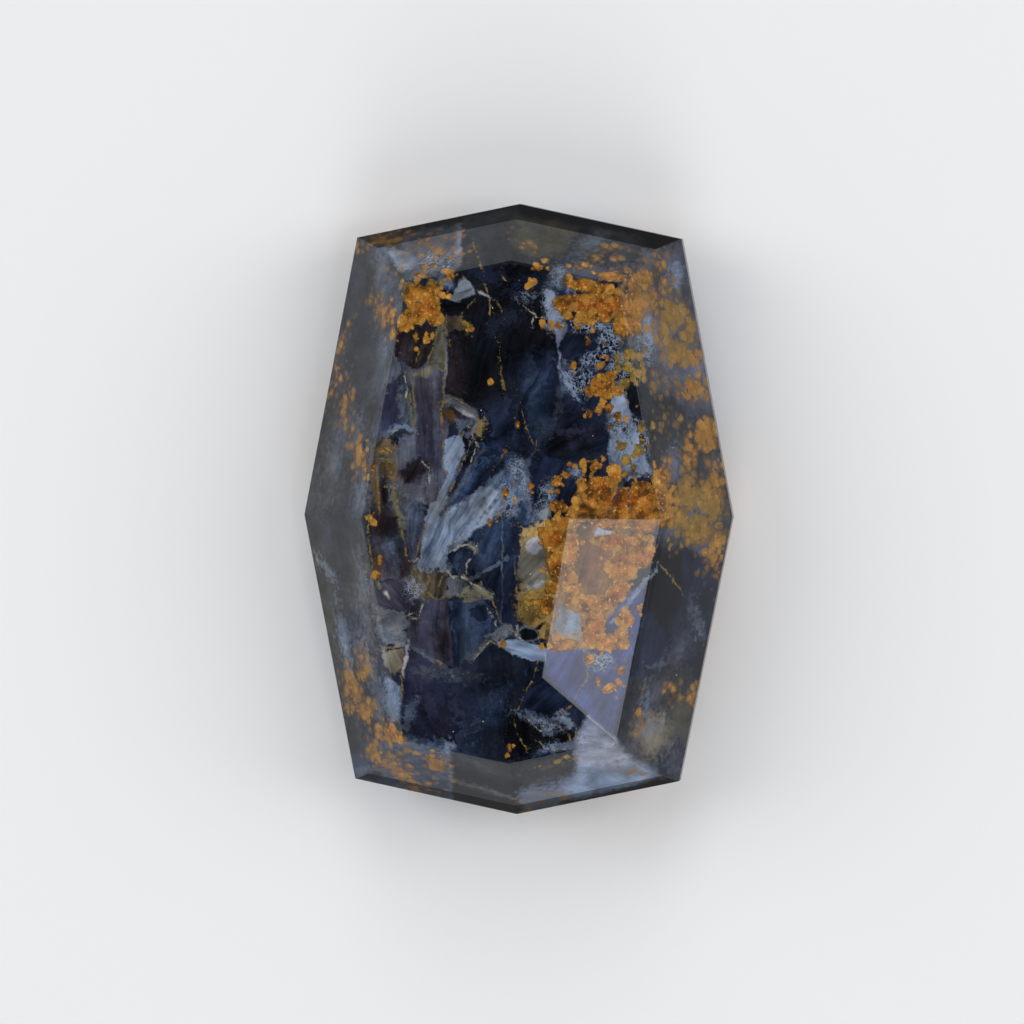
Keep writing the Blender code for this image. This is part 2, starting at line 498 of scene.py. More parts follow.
LEFT_COLUMNS = (
    Block(Chip(((-3.2, 3.8), (-2.2, 3.7), (-2.1, -2.2), (-3.15, -2.2))), Mineral.VIOLET, 88, 0.05, 0.15),
    Block(Chip(((-2.3, 3.1), (-1.55, 3.1), (-1.5, 0.65), (-1.85, 0.1), (-2.3, 0.1))), Mineral.VIOLET, 90),
    Block(Chip(((-3.1, 3.65), (-2.65, 3.3), (-2.5, 2.95), (-2.75, 2.5), (-3.0, 2.5))), Mineral.SLATE, 80, 0.08),
    Block(
        Chip(((-2.64, 3.9), (-1.75, 3.8), (-1.85, 3.25), (-2.05, 2.98), (-2.3, 2.95), (-2.62, 3.25))),
        Mineral.MAROON,
        80,
        0.02,
        0.06,
    ),
    Block(Oval(-2.17, 3.3, 0.1, 0.28, -10), Mineral.BRONZE, 80, 0.08, 0.2),
    Block(Chip(((-1.98, 2.95), (-1.66, 3.95), (-1.56, 3.9), (-1.54, 2.9))), Mineral.REED, 74, 0.02, 0.08),
    Block(Chip(((-2.5, 2.95), (-2.3, 2.85), (-1.9, 3.0), (-1.9, 2.68), (-2.3, 2.68))), Mineral.REED, 90, 0.04),
    Block(Chip(((-2.85, 2.6), (-2.5, 2.85), (-2.45, 2.3), (-2.6, 1.65), (-2.95, 1.6))), Mineral.DUSK, 84, 0.04),
    Block(Oval(-2.42, 2.2, 0.12, 0.5, 4), Mineral.SLATE, 82, 0.06, 0.2),
    Block(Oval(-2.28, 2.05, 0.05, 0.5, 3), Mineral.REED, 86, 0.04, 0.2),
    Block(
        Chip(((-2.2, 2.75), (-1.62, 2.8), (-1.56, 1.5), (-1.7, 0.6), (-2.0, 0.9), (-2.15, 1.3))),
        Mineral.PLUM,
        90,
        0.04,
        0.1,
    ),
    Block(Oval(-1.75, 2.2, 0.05, 0.6, 0.5), Mineral.VIOLET, 90, 0.06, 0.2),
    Block(Oval(-2.5, 1.64, 0.25, 0.1), Mineral.PALE, 10, 0.03, 0.12),
    Block(Oval(-2.48, 1.58, 0.22, 0.08), Mineral.GRAPHITE, 20, 0.02, 0.06),
    Block(Oval(-2.62, 1.4, 0.1, 0.12, 20), Mineral.NAVY, 60, 0.05, 0.2),
    Block(Oval(-2.32, 1.25, 0.12, 0.22), Mineral.SLATE, 88, 0.1, 0.3),
    Block(Oval(-2.85, 1.25, 0.2, 0.16), Mineral.OLIVE, 10, 0.08, 0.3),
    Block(Oval(-2.9, 1.02, 0.16, 0.08, 10), Mineral.REED, 10, 0.05, 0.25),
    Block(Oval(-2.72, 0.8, 0.12, 0.2, 30), Mineral.OLIVE, 60, 0.1, 0.35),
    Block(Oval(-2.22, 0.83, 0.34, 0.2, 45), Mineral.MAROON, 60, 0.05, 0.15),
    Block(Oval(-2.84, 0.32, 0.09, 0.28), Mineral.MAROON, 88, 0.05, 0.2),
    Block(Oval(-3.02, 0.4, 0.07, 0.5, 4), Mineral.OLIVE, 88, 0.06, 0.25),
    Block(Oval(-2.3, 0.25, 0.34, 0.15, 25), Mineral.SLATE, 28, 0.1, 0.25),
    Block(Oval(-2.2, -0.25, 0.13, 0.45, -6), Mineral.MIST, 84, 0.1, 0.2),
    Block(Oval(-2.55, -0.1, 0.08, 0.5, 14), Mineral.REED, 100, 0.06, 0.3),
    Block(Oval(-2.86, -0.35, 0.3, 0.36), Mineral.MAROON, 70, 0.08, 0.2),
    Block(Oval(-2.06, -0.5, 0.09, 0.32, -10), Mineral.PLUM, 84, 0.04, 0.15),
    Block(Oval(-2.72, -0.8, 0.12, 0.14, 20), Mineral.MIST, 70, 0.08, 0.2),
    Block(Chip(((-2.6, -0.75), (-2.3, -0.85), (-2.3, -1.5), (-2.5, -1.6))), Mineral.MAROON, 110, 0.06, 0.2),
    Block(Oval(-3.0, -1.2, 0.12, 0.35, 4), Mineral.UMBER, 86, 0.08, 0.2),
    Block(Oval(-2.75, -1.3, 0.12, 0.3, 10), Mineral.PLUM, 100, 0.06, 0.2),
    Block(Chip(((-3.05, -1.55), (-2.3, -1.45), (-2.35, -2.25), (-3.05, -2.05))), Mineral.PLUM, 140, 0.05, 0.15),
    Block(Oval(-2.77, -1.83, 0.05, 0.09, 20), Mineral.MILK, 90, 0.03, 0.06),
    Block(Oval(-2.95, -1.62, 0.05, 0.1, 30), Mineral.REED, 60, 0.03, 0.1),
)

SILKY_MIDDLE = (
    Block(Chip(((-1.5, 3.6), (-1.12, 3.6), (-1.15, 2.5), (-1.5, 2.45))), Mineral.MAROON, 86, 0.12, 0.1),
    Block(Chip(((-0.75, 2.3), (-0.1, 2.4), (-0.1, 1.35), (-0.7, 1.4))), Mineral.NAVY, 60, 0.2, 0.3),
    Block(Oval(-1.24, 2.1, 0.46, 0.2, -36), Mineral.SLATE, 145, 0.02, 0.06),
    Block(Oval(-1.2, 1.98, 0.4, 0.12, -34), Mineral.NAVY, 148, 0.02, 0.08),
    Block(Oval(-1.1, 2.02, 0.2, 0.035, -30), Mineral.MILK, 150, 0.03, 0.06),
    Block(Oval(-1.45, 1.98, 0.2, 0.14, -25), Mineral.UMBER, 120, 0.04, 0.1),
    Block(
        Chip(((-1.35, 1.9), (-1.05, 1.92), (-0.78, 1.85), (-0.85, 1.6), (-1.25, 1.5))),
        Mineral.MIST,
        58,
        0.04,
        0.15,
    ),
    Block(Oval(-1.05, 1.72, 0.05, 0.16, -40), Mineral.NAVY, 58, 0.04, 0.15),
    Block(Oval(-0.82, 1.7, 0.1, 0.14, -20), Mineral.OLIVE, 60, 0.06, 0.25),
    Block(Chip(((-1.6, 0.4), (-0.75, 1.4), (-0.15, 1.2), (0.1, 0.2), (-1.2, -0.4))), Mineral.BLUE, 60, 0.04),
    Block(Chip(((-1.56, 1.5), (-1.22, 1.52), (-1.12, 1.2), (-1.42, 0.5), (-1.58, 0.8))), Mineral.PALE, 64, 0.02),
    Block(
        Chip(((-1.52, 0.7), (-1.38, 0.55), (-1.1, -0.3), (-1.42, -1.36), (-2.15, -1.4), (-1.94, -0.1))),
        Mineral.SILK,
        64,
        0.03,
        0.08,
    ),
    Block(
        Chip(((-1.6, -0.05), (-0.75, 0.6), (-0.35, 0.4), (-0.32, 0.0), (-0.62, -0.25), (-1.2, -0.8))),
        Mineral.SILK,
        58,
        0.06,
        0.14,
    ),
    Block(Oval(-0.72, 0.55, 0.4, 0.1, 38), Mineral.SILK, 40, 0.08, 0.16),
    Block(
        Chip(((-1.62, -0.08), (-1.42, 0.5), (-1.15, 1.15), (-0.75, 1.36), (-0.3, 1.2), (-0.3, 0.85), (-1.2, 0.15))),
        Mineral.NAVY,
        58,
        0.05,
        0.12,
    ),
    Block(Oval(-0.85, 0.8, 0.42, 0.06, 52), Mineral.BLUE, 54, 0.08, 0.12),
    Block(Oval(-1.25, 0.45, 0.4, 0.03, 58), Mineral.SLATE, 58, 0.06, 0.1),
    Block(Oval(-0.5, 1.05, 0.2, 0.05, 20), Mineral.BLUE, 30, 0.06, 0.2),
    Block(Oval(-0.65, -0.02, 0.32, 0.03, 48), Mineral.BLUE, 50, 0.05, 0.1),
    Block(Oval(-0.95, -0.12, 0.4, 0.02, 55), Mineral.SLATE, 55, 0.05, 0.1),
    Block(
        Chip(((-0.95, -0.45), (-0.6, -0.28), (0.05, -0.15), (0.1, -2.5), (-0.4, -1.9), (-1.05, -1.45))),
        Mineral.NAVY,
        68,
        0.03,
        0.1,
    ),
    Block(Oval(-0.6, -0.8, 0.4, 0.22, 60), Mineral.BLUE, 64, 0.2, 0.3),
    Block(Oval(-0.7, -1.32, 0.34, 0.02, 28), Mineral.MIST, 28, 0.04, 0.1),
    # A thin pale line along the low ridge where two crown facets meet: a painted highlight on the ridge's edge.
    Block(Oval(-0.33, -1.0, 0.012, 0.7), Mineral.SLATE, 90, 0.02, 0.02),
    Block(Oval(-1.2, -1.08, 0.27, 0.3), Mineral.NAVY, 60, 0.03, 0.08),
    Block(Oval(-1.28, -1.05, 0.05, 0.2, -25), Mineral.BLUE, 60, 0.04, 0.1),
    Block(Oval(-0.95, -0.82, 0.06, 0.14, 30), Mineral.REED, 60, 0.03, 0.1),
    Block(Chip(((-0.22, 1.0), (0.2, 1.0), (0.35, -0.3), (-0.15, -0.1))), Mineral.MIST, 76, 0.06, 0.3),
    Block(Oval(0.1, -0.1, 0.1, 0.34, 10), Mineral.BLUE, 70, 0.05, 0.2),
)

LOWER_LEFT = (
    Block(Chip(((-2.3, -1.25), (-1.5, -1.35), (-1.45, -1.88), (-2.2, -2.0))), Mineral.BRONZE, 80, 0.04, 0.2),
    Block(
        Chip(((-2.36, -1.95), (-1.48, -1.88), (-1.4, -3.3), (-1.75, -3.35), (-2.36, -2.85))),
        Mineral.PLUM,
        88,
        0.03,
        0.1,
    ),
    Block(Oval(-1.62, -2.75, 0.14, 0.4, 4), Mineral.MAROON, 88, 0.08, 0.2),
    Block(Oval(-2.2, -2.3, 0.1, 0.35), Mineral.MAROON, 88, 0.06, 0.15),
    Block(
        Chip(((-1.45, -1.95), (-0.7, -1.85), (-0.5, -2.3), (-0.6, -2.75), (-1.0, -3.15), (-1.35, -3.2))),
        Mineral.BLUE,
        94,
        0.03,
        0.08,
    ),
    Block(Oval(-0.72, -2.2, 0.2, 0.24, 40), Mineral.NAVY, 110, 0.08, 0.15),
    Block(Oval(-1.3, -2.2, 0.12, 0.2), Mineral.NAVY, 90, 0.08, 0.15),
    Block(Chip(((-1.5, -1.4), (-1.15, -1.45), (-1.0, -1.8), (-1.5, -1.86))), Mineral.SLATE, 80, 0.03, 0.15),
    Block(Chip(((-1.3, -1.84), (-0.8, -1.58), (-0.5, -1.9), (-1.1, -1.94))), Mineral.REED, 150, 0.05, 0.2),
    Block(
        Chip(((-2.4, -2.85), (-1.65, -3.32), (-1.0, -3.2), (-0.6, -2.85), (0.4, -3.2), (0.1, -5.6), (-2.45, -5.1))),
        Mineral.NAVY,
        100,
        0.04,
        0.1,
    ),
    Block(Chip(((-2.4, -2.9), (-1.7, -3.3), (-1.5, -4.6), (-2.45, -4.6))), Mineral.DUSK, 95, 0.3, 0.4),
    Block(Oval(-1.5, -4.45, 0.5, 0.14, 70), Mineral.DUSK, 95, 0.3, 0.5),
    Block(Chip(((-0.7, -2.95), (0.35, -3.15), (0.1, -5.6), (-0.7, -5.3), (-0.6, -3.6))), Mineral.JET, 95, 0.5, 0.5),
    Block(Oval(-0.85, -4.7, 0.3, 0.1, 60), Mineral.BLUE, 60, 0.3, 0.5),
    Block(Oval(-0.45, -4.1, 0.3, 0.05, 50), Mineral.BLUE, 50, 0.1, 0.3),
    Block(Oval(-1.5, -3.48, 0.34, 0.06, -5), Mineral.SLATE, 0, 0.1, 0.2),
    Block(Oval(-1.95, -3.12, 0.42, 0.03, -34), Mineral.SLATE, 146, 0.05, 0.1),
    Block(Oval(-0.85, -3.0, 0.34, 0.07, 36), Mineral.SLATE, 36, 0.04, 0.15),
    Block(Oval(-2.32, -4.45, 0.08, 0.26, -20), Mineral.MIST, 60, 0.1, 0.2),
    Block(Chip(((-3.1, -2.08), (-2.42, -2.2), (-2.35, -2.95), (-2.9, -2.8))), Mineral.PEARL, 25, 0.04, 0.15),
    Block(Oval(-2.7, -2.72, 0.3, 0.05, -15), Mineral.SLATE, 160, 0.06, 0.15),
    Block(
        Chip(((-2.92, -2.92), (-2.45, -2.88), (-2.4, -3.35), (-2.62, -3.52), (-2.85, -3.3))),
        Mineral.QUARTZ,
        120,
        0.03,
        0.1,
    ),
    Block(Oval(-2.7, -2.96, 0.24, 0.02, 6), Mineral.UMBER, 0, 0.02, 0.08),
    Block(Oval(-2.38, -3.2, 0.035, 0.3, -6), Mineral.MILK, 90, 0.02, 0.06),
    Block(Chip(((-2.8, -3.55), (-2.48, -3.8), (-2.48, -4.45), (-2.68, -4.6), (-2.8, -4.2))), Mineral.PALE, 80, 0.04),
)

BOTTOM_END = (
    Block(Chip(((-3.7, -6.0), (-3.6, -4.9), (-1.42, -4.9), (-1.4, -6.3))), Mineral.BLUE, 80, 0.08, 0.25),
    Block(Oval(-2.35, -5.0, 0.5, 0.12, -8), Mineral.MIST, 0, 0.12, 0.3),
    Block(Oval(-1.45, -5.15, 0.14, 0.2), Mineral.PALE, 90, 0.08, 0.2),
    Block(Oval(-3.1, -5.68, 0.34, 0.17), Mineral.MIST, 0, 0.06, 0.15),
    Block(Oval(-3.1, -5.72, 0.27, 0.13), Mineral.NAVY, 0, 0.06, 0.1),
    Block(
        Chip(((-1.42, -5.08), (0.05, -5.45), (0.6, -5.9), (0.0, -6.6), (-1.45, -6.3))),
        Mineral.NAVY,
        160,
        0.04,
        0.06,
    ),
    Block(Chip(((-1.35, -5.5), (0.2, -5.9), (0.0, -6.6), (-1.4, -6.3))), Mineral.JET, 164, 0.08, 0.1),
    Block(Oval(-0.7, -5.45, 0.7, 0.1, -16), Mineral.ASH, 164, 0.1, 0.1),
    Block(Oval(-0.75, -5.95, 0.6, 0.03, -16), Mineral.SLATE, 164, 0.05, 0.08),
    Block(Oval(-1.42, -5.75, 0.03, 0.4), Mineral.MIST, 90, 0.05, 0.1),
    Block(Chip(((0.0, -5.45), (1.3, -5.2), (1.3, -5.75), (0.2, -5.95))), Mineral.ASH, 172, 0.12, 0.25),
    Block(Chip(((0.0, -6.0), (1.3, -5.75), (1.2, -6.3), (0.2, -6.5))), Mineral.MIST, 172, 0.1, 0.2),
    Block(
        Chip(((1.15, -4.15), (1.35, -4.15), (2.95, -5.65), (2.3, -5.95), (0.9, -6.35), (0.95, -5.3), (1.2, -4.9))),
        Mineral.FROST,
        170,
        0.08,
        0.15,
    ),
    Block(Chip(((1.0, -5.75), (2.8, -5.3), (2.95, -5.65), (2.3, -5.95), (0.9, -6.35))), Mineral.PALE, 165, 0.15),
    # Painted shade: a black strip along the steep band at the near end, in place of the dark reflection that the band
    # shows.
    Block(Chip(((0.9, -6.22), (3.4, -5.62), (3.5, -5.9), (0.8, -6.5))), Mineral.JET, 166, 0.05, 0.08),
    Block(Chip(((0.45, -3.3), (1.2, -4.15), (0.75, -4.4), (0.05, -4.25), (0.15, -3.8))), Mineral.NAVY, 40),
    Block(
        Chip(((-0.1, -4.35), (0.75, -4.45), (1.25, -4.7), (1.15, -5.0), (0.45, -5.32), (0.0, -5.2))),
        Mineral.JET,
        100,
        0.04,
        0.15,
    ),
    Block(Oval(0.45, -4.45, 0.32, 0.08, -14), Mineral.MIST, 160, 0.06, 0.25),
    Block(Oval(1.02, -4.45, 0.2, 0.12, -30), Mineral.PALE, 140, 0.04, 0.2),
    Block(Oval(0.68, -4.68, 0.1, 0.1, -20), Mineral.MIST, 120, 0.05, 0.2),
    Block(Oval(0.95, -5.0, 0.28, 0.09, 14), Mineral.MIST, 20, 0.05, 0.25),
    Block(Oval(0.55, -5.12, 0.14, 0.06, 30), Mineral.BLUE, 20, 0.05, 0.25),
)

UPPER_RIGHT = (
    Block(Chip(((0.6, 5.1), (2.1, 5.15), (2.7, 3.0), (1.5, 3.0), (0.9, 3.6))), Mineral.NAVY, 70, 0.05, 0.25),
    Block(Oval(1.6, 5.0, 0.5, 0.16), Mineral.SLATE, 150, 0.14, 0.3),
    Block(Oval(2.35, 3.6, 0.2, 0.5, 10), Mineral.SLATE, 80, 0.14, 0.3),
    Block(Oval(0.85, 4.9, 0.2, 0.2), Mineral.SLATE, 70, 0.1, 0.3),
    Block(Chip(((0.55, 4.62), (0.74, 4.6), (1.0, 3.85), (0.86, 3.52), (0.62, 3.9))), Mineral.PALE, 66, 0.03, 0.12),
    Block(Oval(1.26, 3.4, 0.42, 0.36), Mineral.NAVY, 60, 0.02, 0.06),
    Block(Chip(((1.5, 3.7), (1.95, 3.95), (2.1, 3.4), (1.65, 3.25))), Mineral.NAVY, 60, 0.03, 0.2),
    Block(
        Chip(((1.0, 2.75), (1.25, 2.4), (1.95, 2.3), (1.9, 1.9), (1.1, 1.9), (0.85, 2.3))),
        Mineral.NAVY,
        60,
        0.05,
        0.12,
    ),
    Block(
        Chip(((2.0, 2.6), (2.25, 2.55), (2.52, 1.75), (2.9, 0.8), (2.3, 0.65), (1.86, 1.2), (1.9, 1.7))),
        Mineral.PALE,
        66,
        0.03,
        0.12,
    ),
    Block(Chip(((2.22, 2.6), (2.58, 2.6), (2.64, 1.95), (2.46, 1.8))), Mineral.JET, 80, 0.02, 0.06),
    Block(Oval(1.98, 1.9, 0.09, 0.2, 12), Mineral.VIOLET, 70, 0.04, 0.15),
    Block(Oval(2.25, 1.62, 0.06, 0.14, 20), Mineral.UMBER, 70, 0.05, 0.3),
    Block(
        Chip(((0.6, 1.3), (0.9, 2.0), (1.8, 2.12), (1.93, 1.5), (1.78, 1.02), (1.0, 0.98))),
        Mineral.NAVY,
        30,
        0.03,
        0.08,
    ),
    Block(Oval(0.82, 1.35, 0.24, 0.3), Mineral.JET, 30, 0.1, 0.2),
    Block(Oval(1.35, 1.35, 0.2, 0.16), Mineral.JET, 30, 0.1, 0.3),
    Block(Oval(1.45, 1.7, 0.4, 0.05, 10), Mineral.DUSK, 10, 0.1, 0.3),
    Block(
        Chip(((0.35, 1.25), (0.8, 1.05), (1.3, 0.8), (1.2, 0.1), (0.5, -0.1), (0.3, 0.3))),
        Mineral.NAVY,
        70,
        0.05,
        0.2,
    ),
    Block(Oval(1.2, 0.82, 0.1, 0.14, 30), Mineral.MIST, 60, 0.04, 0.2),
    Block(Oval(0.68, 0.42, 0.05, 0.14), Mineral.MIST, 80, 0.04, 0.2),
    Block(Oval(0.55, -0.08, 0.13, 0.16), Mineral.PEARL, 80, 0.05, 0.2),
)

RIGHT_BEVEL = (
    Block(Chip(((2.6, 5.4), (3.6, 5.8), (4.4, 2.0), (2.7, 2.0))), Mineral.VIOLET, 84, 0.1, 0.25),
    Block(Oval(2.75, 3.9, 0.14, 0.5, 4), Mineral.PALE, 84, 0.14, 0.35),
    Block(Oval(3.05, 3.5, 0.1, 0.5, 8), Mineral.MIST, 84, 0.14, 0.35),
    Block(Oval(3.35, 5.0, 0.1, 0.14), Mineral.PALE, 84, 0.12, 0.3),
    Block(Oval(2.62, 5.0, 0.16, 0.3), Mineral.SLATE, 84, 0.14, 0.35),
    Block(Oval(2.7, 3.0, 0.1, 0.3), Mineral.GRAPHITE, 84, 0.14, 0.3),
    Block(Oval(3.75, 2.95, 0.3, 0.14, 30), Mineral.MIST, 80, 0.15, 0.3),
    Block(Chip(((2.6, 2.6), (3.3, 2.4), (3.65, 1.95), (3.65, 1.15), (2.9, 0.9))), Mineral.GRAPHITE, 84, 0.08, 0.2),
    Block(Chip(((2.95, 1.15), (4.5, 1.2), (4.7, -0.2), (4.3, -1.1), (2.95, -0.7))), Mineral.ASH, 84, 0.1, 0.3),
    Block(Oval(3.3, 0.9, 0.14, 0.3), Mineral.MIST, 84, 0.12, 0.3),
    Block(Oval(3.55, -0.2, 0.34, 0.1, 30), Mineral.MIST, 84, 0.14, 0.3),
    Block(Oval(3.8, -0.8, 0.2, 0.12), Mineral.MIST, 84, 0.12, 0.3),
    Block(
        Chip(((2.92, -0.85), (3.5, -0.72), (4.05, -1.1), (4.35, -2.0), (4.0, -3.7), (2.3, -3.7))),
        Mineral.NAVY,
        84,
        0.05,
        0.1,
    ),
    Block(Chip(((3.0, -0.95), (3.5, -0.85), (3.5, -1.7), (3.2, -2.6), (2.7, -2.0))), Mineral.JET, 84, 0.08, 0.15),
    Block(Oval(3.82, -2.35, 0.07, 0.26, 16), Mineral.MIST, 70, 0.1, 0.25),
    Block(Oval(3.05, -3.28, 0.16, 0.05, 20), Mineral.MIST, 20, 0.06, 0.15),
    Block(Oval(3.4, -3.1, 0.14, 0.5, -20), Mineral.VIOLET, 70, 0.14, 0.3),
    Block(Chip(((3.6, -3.2), (2.75, -3.5), (2.3, -3.6), (2.15, -5.0), (2.9, -5.5), (3.9, -4.2))), Mineral.GRAPHITE, 66, 0.1),
    Block(Oval(3.0, -3.85, 0.2, 0.4, -20), Mineral.VIOLET, 66, 0.15, 0.3),
    Block(Oval(2.75, -4.3, 0.08, 0.34), Mineral.MIST, 66, 0.1, 0.3),
    Block(Oval(2.9, -4.75, 0.4, 0.45, 10), Mineral.QUARTZ, 60, 0.14, 0.3),
    Block(Oval(2.85, -4.6, 0.2, 0.12, 30), Mineral.PEARL, 60, 0.12, 0.3),
    Block(Oval(3.6, -4.5, 0.3, 0.42), Mineral.TAN, 60, 0.14, 0.3),
    Block(Oval(2.5, -5.05, 0.14, 0.2), Mineral.VIOLET, 80, 0.1, 0.3),
    Block(Oval(3.35, -5.4, 0.1, 0.3), Mineral.VIOLET, 80, 0.12, 0.3),
)

QUARTZ_AND_SLOPE = (
    Block(
        Chip(((0.08, -0.4), (0.6, -0.3), (1.0, -1.6), (0.95, -2.9), (0.5, -2.75), (0.02, -2.2))),
        Mineral.GOLDEN,
        60,
        0.05,
        0.25,
    ),
    Block(Oval(0.2, -2.15, 0.16, 0.3, 20), Mineral.OLIVE, 60, 0.1, 0.3),
    Block(Chip(((0.05, -0.85), (0.55, -0.85), (0.6, -1.5), (0.3, -1.7), (0.0, -1.45))), Mineral.QUARTZ, 40, 0.04),
    Block(Oval(0.33, -0.75, 0.17, 0.18), Mineral.MILK, 40, 0.03, 0.1),
    Block(Oval(0.36, -1.6, 0.2, 0.05, 22), Mineral.MILK, 20, 0.03, 0.1),
    Block(Oval(0.22, -2.64, 0.25, 0.17), Mineral.PEARL, 90, 0.03, 0.05),
    Block(Oval(0.23, -2.65, 0.22, 0.14), Mineral.JET, 90, 0.02, 0.04),
    Block(Oval(0.5, -2.46, 0.14, 0.04, 40), Mineral.JET, 90, 0.02, 0.05),
    Block(
        Chip(((-0.5, -2.75), (0.05, -2.8), (0.66, -2.96), (0.6, -3.2), (0.3, -3.24), (-0.1, -3.1))),
        Mineral.PALE,
        168,
        0.02,
        0.08,
    ),
    Block(Oval(-0.35, -2.62, 0.24, 0.1, 20), Mineral.PEARL, 60, 0.04, 0.12),
    Block(Chip(((0.9, -0.3), (3.02, -0.3), (2.9, -1.1), (2.1, -2.1), (1.9, -3.1), (0.7, -3.1))), Mineral.EARTH, 70, 0.04),
    Block(Oval(1.55, -1.15, 0.4, 0.7, -4), Mineral.RUSSET, 70, 0.2, 0.3),
    # The crown facet where the window's reflection falls: its blue is partly the stone's own and partly painted
    # reflection.
    Block(Chip(((0.64, -3.0), (2.4, -2.8), (2.05, -4.8), (0.58, -3.48))), Mineral.INDIGO_AND_PAINTED_REFLECTION, 60, 0.03, 0.04),
    Block(Chip(((1.9, -2.9), (1.9, -2.1), (2.3, -1.8), (2.8, -1.15), (2.22, -4.0))), Mineral.INDIGO_AND_PAINTED_REFLECTION, 60, 0.03, 0.04),
    Block(Chip(((3.02, -1.0), (2.95, -1.3), (2.0, -2.4), (1.8, -2.45), (2.45, -1.75))), Mineral.PALE, 50, 0.03, 0.1),
    Block(Chip(((0.85, -2.05), (1.35, -2.0), (1.3, -2.75), (0.75, -2.6))), Mineral.PEARL, 80, 0.05, 0.2),
    Block(Oval(1.2, -2.25, 0.1, 0.3, -6), Mineral.PALE, 80, 0.05, 0.2),
    Block(Oval(1.4, -2.88, 0.1, 0.1), Mineral.PALE, 80, 0.05, 0.2),
    Block(Oval(1.84, -0.4, 0.22, 0.16, 30), Mineral.PALE, 80, 0.04, 0.15),
    Block(Oval(1.7, -3.2, 0.28, 0.16, -10), Mineral.SLATE, 80, 0.06, 0.3),
    Block(Oval(1.25, -0.4, 0.2, 0.14), Mineral.UMBER, 80, 0.1, 0.2),
)

LEFT_BEVEL = (
    Block(Chip(((-3.5, 3.9), (-3.0, 3.75), (-2.9, 1.3), (-3.6, 1.5))), Mineral.GRAPHITE, 84, 0.12, 0.2),
    Block(Oval(-2.95, 3.1, 0.08, 0.5, -14), Mineral.SLATE, 76, 0.08, 0.2),
    Block(Oval(-3.3, 3.1, 0.12, 0.4, -8), Mineral.ASH, 80, 0.14, 0.3),
    Block(Chip(((-3.8, 5.9), (-3.2, 5.6), (-2.95, 3.8), (-4.1, 2.6))), Mineral.GRAPHITE, 80, 0.2, 0.4),
    Block(Oval(-3.3, 5.2, 0.14, 0.5, -14), Mineral.ASH, 76, 0.2, 0.4),
    Block(Oval(-3.55, 4.3, 0.1, 0.5, -14), Mineral.ASH, 76, 0.2, 0.4),
    Block(Chip(((-4.0, 3.0), (-3.5, 2.9), (-3.3, -0.2), (-4.7, -0.2))), Mineral.GRAPHITE, 80, 0.2, 0.4),
    Block(Oval(-3.6, 1.9, 0.24, 0.7, -10), Mineral.ASH, 80, 0.25, 0.5),
    Block(Oval(-4.25, 0.4, 0.16, 0.7, -14), Mineral.ASH, 80, 0.25, 0.5),
    Block(Oval(-3.7, 0.0, 0.3, 0.4, -10), Mineral.ASH, 80, 0.25, 0.5),
    Block(Oval(-3.4, 1.55, 0.08, 0.3, -8), Mineral.MIST, 80, 0.1, 0.3),
    Block(Oval(-3.3, 0.35, 0.14, 0.8, -6), Mineral.SLATE, 80, 0.14, 0.3),
    Block(Oval(-3.9, 0.9, 0.14, 0.5, -12), Mineral.SLATE, 80, 0.2, 0.4),
    Block(Chip(((-4.7, -0.2), (-3.3, -0.2), (-3.1, -2.1), (-4.2, -2.6))), Mineral.ASH, 100, 0.25, 0.4),
    Block(Oval(-4.1, -1.9, 0.2, 0.7, 8), Mineral.TAN, 100, 0.3, 0.5),
    Block(Oval(-3.8, -3.2, 0.16, 0.7, 8), Mineral.TAN, 100, 0.3, 0.5),
    Block(Oval(-3.55, -2.6, 0.12, 0.5, 8), Mineral.ASH, 100, 0.25, 0.5),
    Block(Oval(-3.75, -0.75, 0.24, 0.3), Mineral.GRAPHITE, 90, 0.2, 0.3),
    Block(Oval(-3.95, -1.6, 0.2, 0.5, 10), Mineral.GRAPHITE, 100, 0.2, 0.3),
    Block(Oval(-3.3, -1.7, 0.1, 0.5, 8), Mineral.SLATE, 100, 0.14, 0.3),
    Block(Oval(-3.72, -2.75, 0.06, 0.36, 8), Mineral.PALE, 90, 0.1, 0.2),
    Block(Oval(-4.08, -1.3, 0.18, 0.04, -50), Mineral.PALE, 90, 0.08, 0.2),
    Block(Oval(-3.25, -2.5, 0.12, 0.5, 10), Mineral.SLATE, 100, 0.14, 0.3),
    Block(Oval(-3.2, -3.35, 0.1, 0.7, 28), Mineral.MIST, 110, 0.12, 0.3),
    Block(Oval(-2.98, -4.15, 0.07, 0.5, 10), Mineral.SLATE, 100, 0.1, 0.2),
    Block(Chip(((-3.9, -4.2), (-3.3, -4.3), (-3.2, -5.0), (-3.7, -5.6))), Mineral.GRAPHITE, 95, 0.15, 0.2),
)

